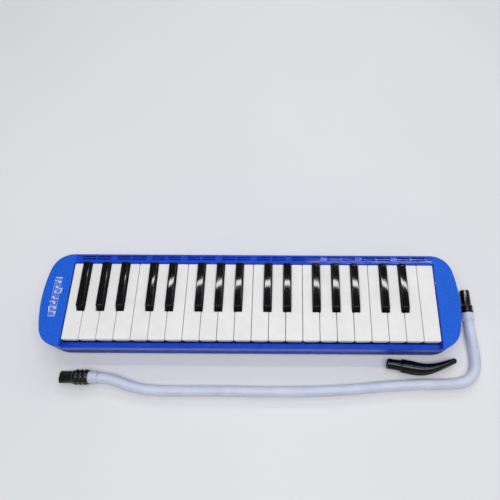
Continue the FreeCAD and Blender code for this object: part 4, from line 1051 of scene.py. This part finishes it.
def add_decal():
    """Five staff lines with a few notes, printed on the bass end cap and read from the side."""
    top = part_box("top_case")[1].z
    bm = bmesh.new()

    def place(along, across, z):
        # along runs to the rear, and the top of the writing faces the bass end
        return (DECAL_CENTRE.x - across * MM, DECAL_CENTRE.y + along * MM, z)

    def plate(points):
        low = [bm.verts.new(place(a, b, top - DECAL_SUNK)) for a, b in points]
        high = [bm.verts.new(place(a, b, top + DECAL_THICK)) for a, b in points]
        bm.faces.new(high)
        bm.faces.new(low[::-1])
        for i in range(len(points)):
            j = (i + 1) % len(points)
            bm.faces.new((low[i], low[j], high[j], high[i]))

    def bar(a0, a1, b0, b1):
        plate([(a0, b0), (a1, b0), (a1, b1), (a0, b1)])

    for line in (-2, -1, 0, 1, 2):
        level = line * STAFF_SPACING
        bar(-STAFF_HALF, STAFF_HALF, level - LINE_HALF, level + LINE_HALF)
    outermost = 2 * STAFF_SPACING + LINE_HALF
    bar(-STAFF_HALF - 0.3, -STAFF_HALF + 0.1, -outermost, outermost)
    bar(STAFF_HALF - 0.4, STAFF_HALF + 0.5, -outermost, outermost)

    def note(along, step, stem):
        """A leaning head and its stem, on a line or between two; returns the stem's far end."""
        across = step * STAFF_SPACING / 2
        lean_along, lean_across = math.cos(HEAD_LEAN), math.sin(HEAD_LEAN)
        points = []
        for i in range(HEAD_POINTS):
            t = 2 * math.pi * i / HEAD_POINTS
            a, b = 1.7 * math.cos(t), 1.15 * math.sin(t)
            points.append((along + a * lean_along - b * lean_across,
                           across + a * lean_across + b * lean_along))
        plate(points)
        edge = along + math.copysign(1.4, stem)
        tip = across + stem
        bar(edge - STEM_HALF, edge + STEM_HALF, min(across, tip), max(across, tip))
        return edge, tip

    def beamed(one, two):
        """Two notes whose stems are joined by a beam."""
        (start, start_tip), (stop, stop_tip) = note(*one), note(*two)
        start -= STEM_HALF
        stop += STEM_HALF
        plate([(start, start_tip - BEAM_HALF), (stop, stop_tip - BEAM_HALF),
               (stop, stop_tip + BEAM_HALF), (start, start_tip + BEAM_HALF)])

    beamed((-19.0, -3, 6.6), (-13.2, -2, 6.6))
    note(-7.2, 0, 6.0)
    note(-1.0, 2, -6.2)
    beamed((5.6, 1, -5.8), (11.2, 0, -5.8))
    note(17.6, -2, 6.2)
    made = finish_mesh("staff_decal", bm, [DECAL], smooth=False, weighted=False)
    settle(made, "case", "case_blue")


add_decal()


# ----------------------------------------------------------------------------------------
# Floor and light
# ----------------------------------------------------------------------------------------
FLOOR_HALF = 4.0
FLOOR_DROP = 0.2 * MM
# name, place, size, power in watts and the point that the lamp faces
LAMPS = [
    ("overhead", (0.05, -0.35, 1.5), (1.7, 0.7), 14.5, (0.05, -0.3, 0)),
    ("rear", (0.1, 1.35, 1.3), (1.6, 0.5), 7, (0, 0, 0)),
    ("tube", (0.14, 0.53, 1.5), (1.36, 0.024), 3.2, (0.14, 0.53, 0)),
    ("thin_tube", (0.42, 0.645, 1.5), (0.56, 0.01), 0.5, (0.42, 0.645, 0)),
]
SKY_LOW = (0.42, 0.42, 0.43, 1)
SKY_HIGH = (0.15, 0.15, 0.16, 1)


def add_floor():
    """A plain square of paper, a hair below the feet."""
    bm = bmesh.new()
    corners = [(-1, -1), (1, -1), (1, 1), (-1, 1)]
    bm.faces.new([bm.verts.new((x * FLOOR_HALF, y * FLOOR_HALF, 0)) for x, y in corners])
    floor = finish_mesh("floor", bm, [floor_material()], smooth=False, weighted=False)
    floor.location.z = -FLOOR_DROP


def add_lamp(name, place, size, power, target):
    """A rectangular area lamp."""
    data = bpy.data.lights.new(name, "AREA")
    data.shape = "RECTANGLE"
    data.size, data.size_y = size
    data.energy = power
    lamp = bpy.data.objects.new(name, data)
    scene.collection.objects.link(lamp)
    lamp.location = place
    lamp.rotation_euler = (Vector(target) - Vector(place)).to_track_quat("-Z", "Y").to_euler()


def add_sky():
    """A dim grey surrounding that darkens towards the top."""
    world = bpy.data.worlds.new("studio")
    scene.world = world
    world.use_nodes = True
    tree = world.node_tree
    tree.nodes.clear()
    place = tree.nodes.new("ShaderNodeTexCoord")
    split = tree.nodes.new("ShaderNodeSeparateXYZ")
    ramp = tree.nodes.new("ShaderNodeValToRGB")
    back = tree.nodes.new("ShaderNodeBackground")
    out = tree.nodes.new("ShaderNodeOutputWorld")
    ramp.color_ramp.elements[0].position = 0.1
    ramp.color_ramp.elements[0].color = SKY_LOW
    ramp.color_ramp.elements[1].position = 0.85
    ramp.color_ramp.elements[1].color = SKY_HIGH
    tree.links.new(place.outputs["Generated"], split.inputs["Vector"])
    tree.links.new(split.outputs["Z"], ramp.inputs["Fac"])
    tree.links.new(ramp.outputs["Color"], back.inputs["Color"])
    tree.links.new(back.outputs["Background"], out.inputs["Surface"])


add_floor()
for lamp_facts in LAMPS:
    add_lamp(*lamp_facts)
add_sky()
scene.view_settings.view_transform = "Standard"
scene.view_settings.look = "None"
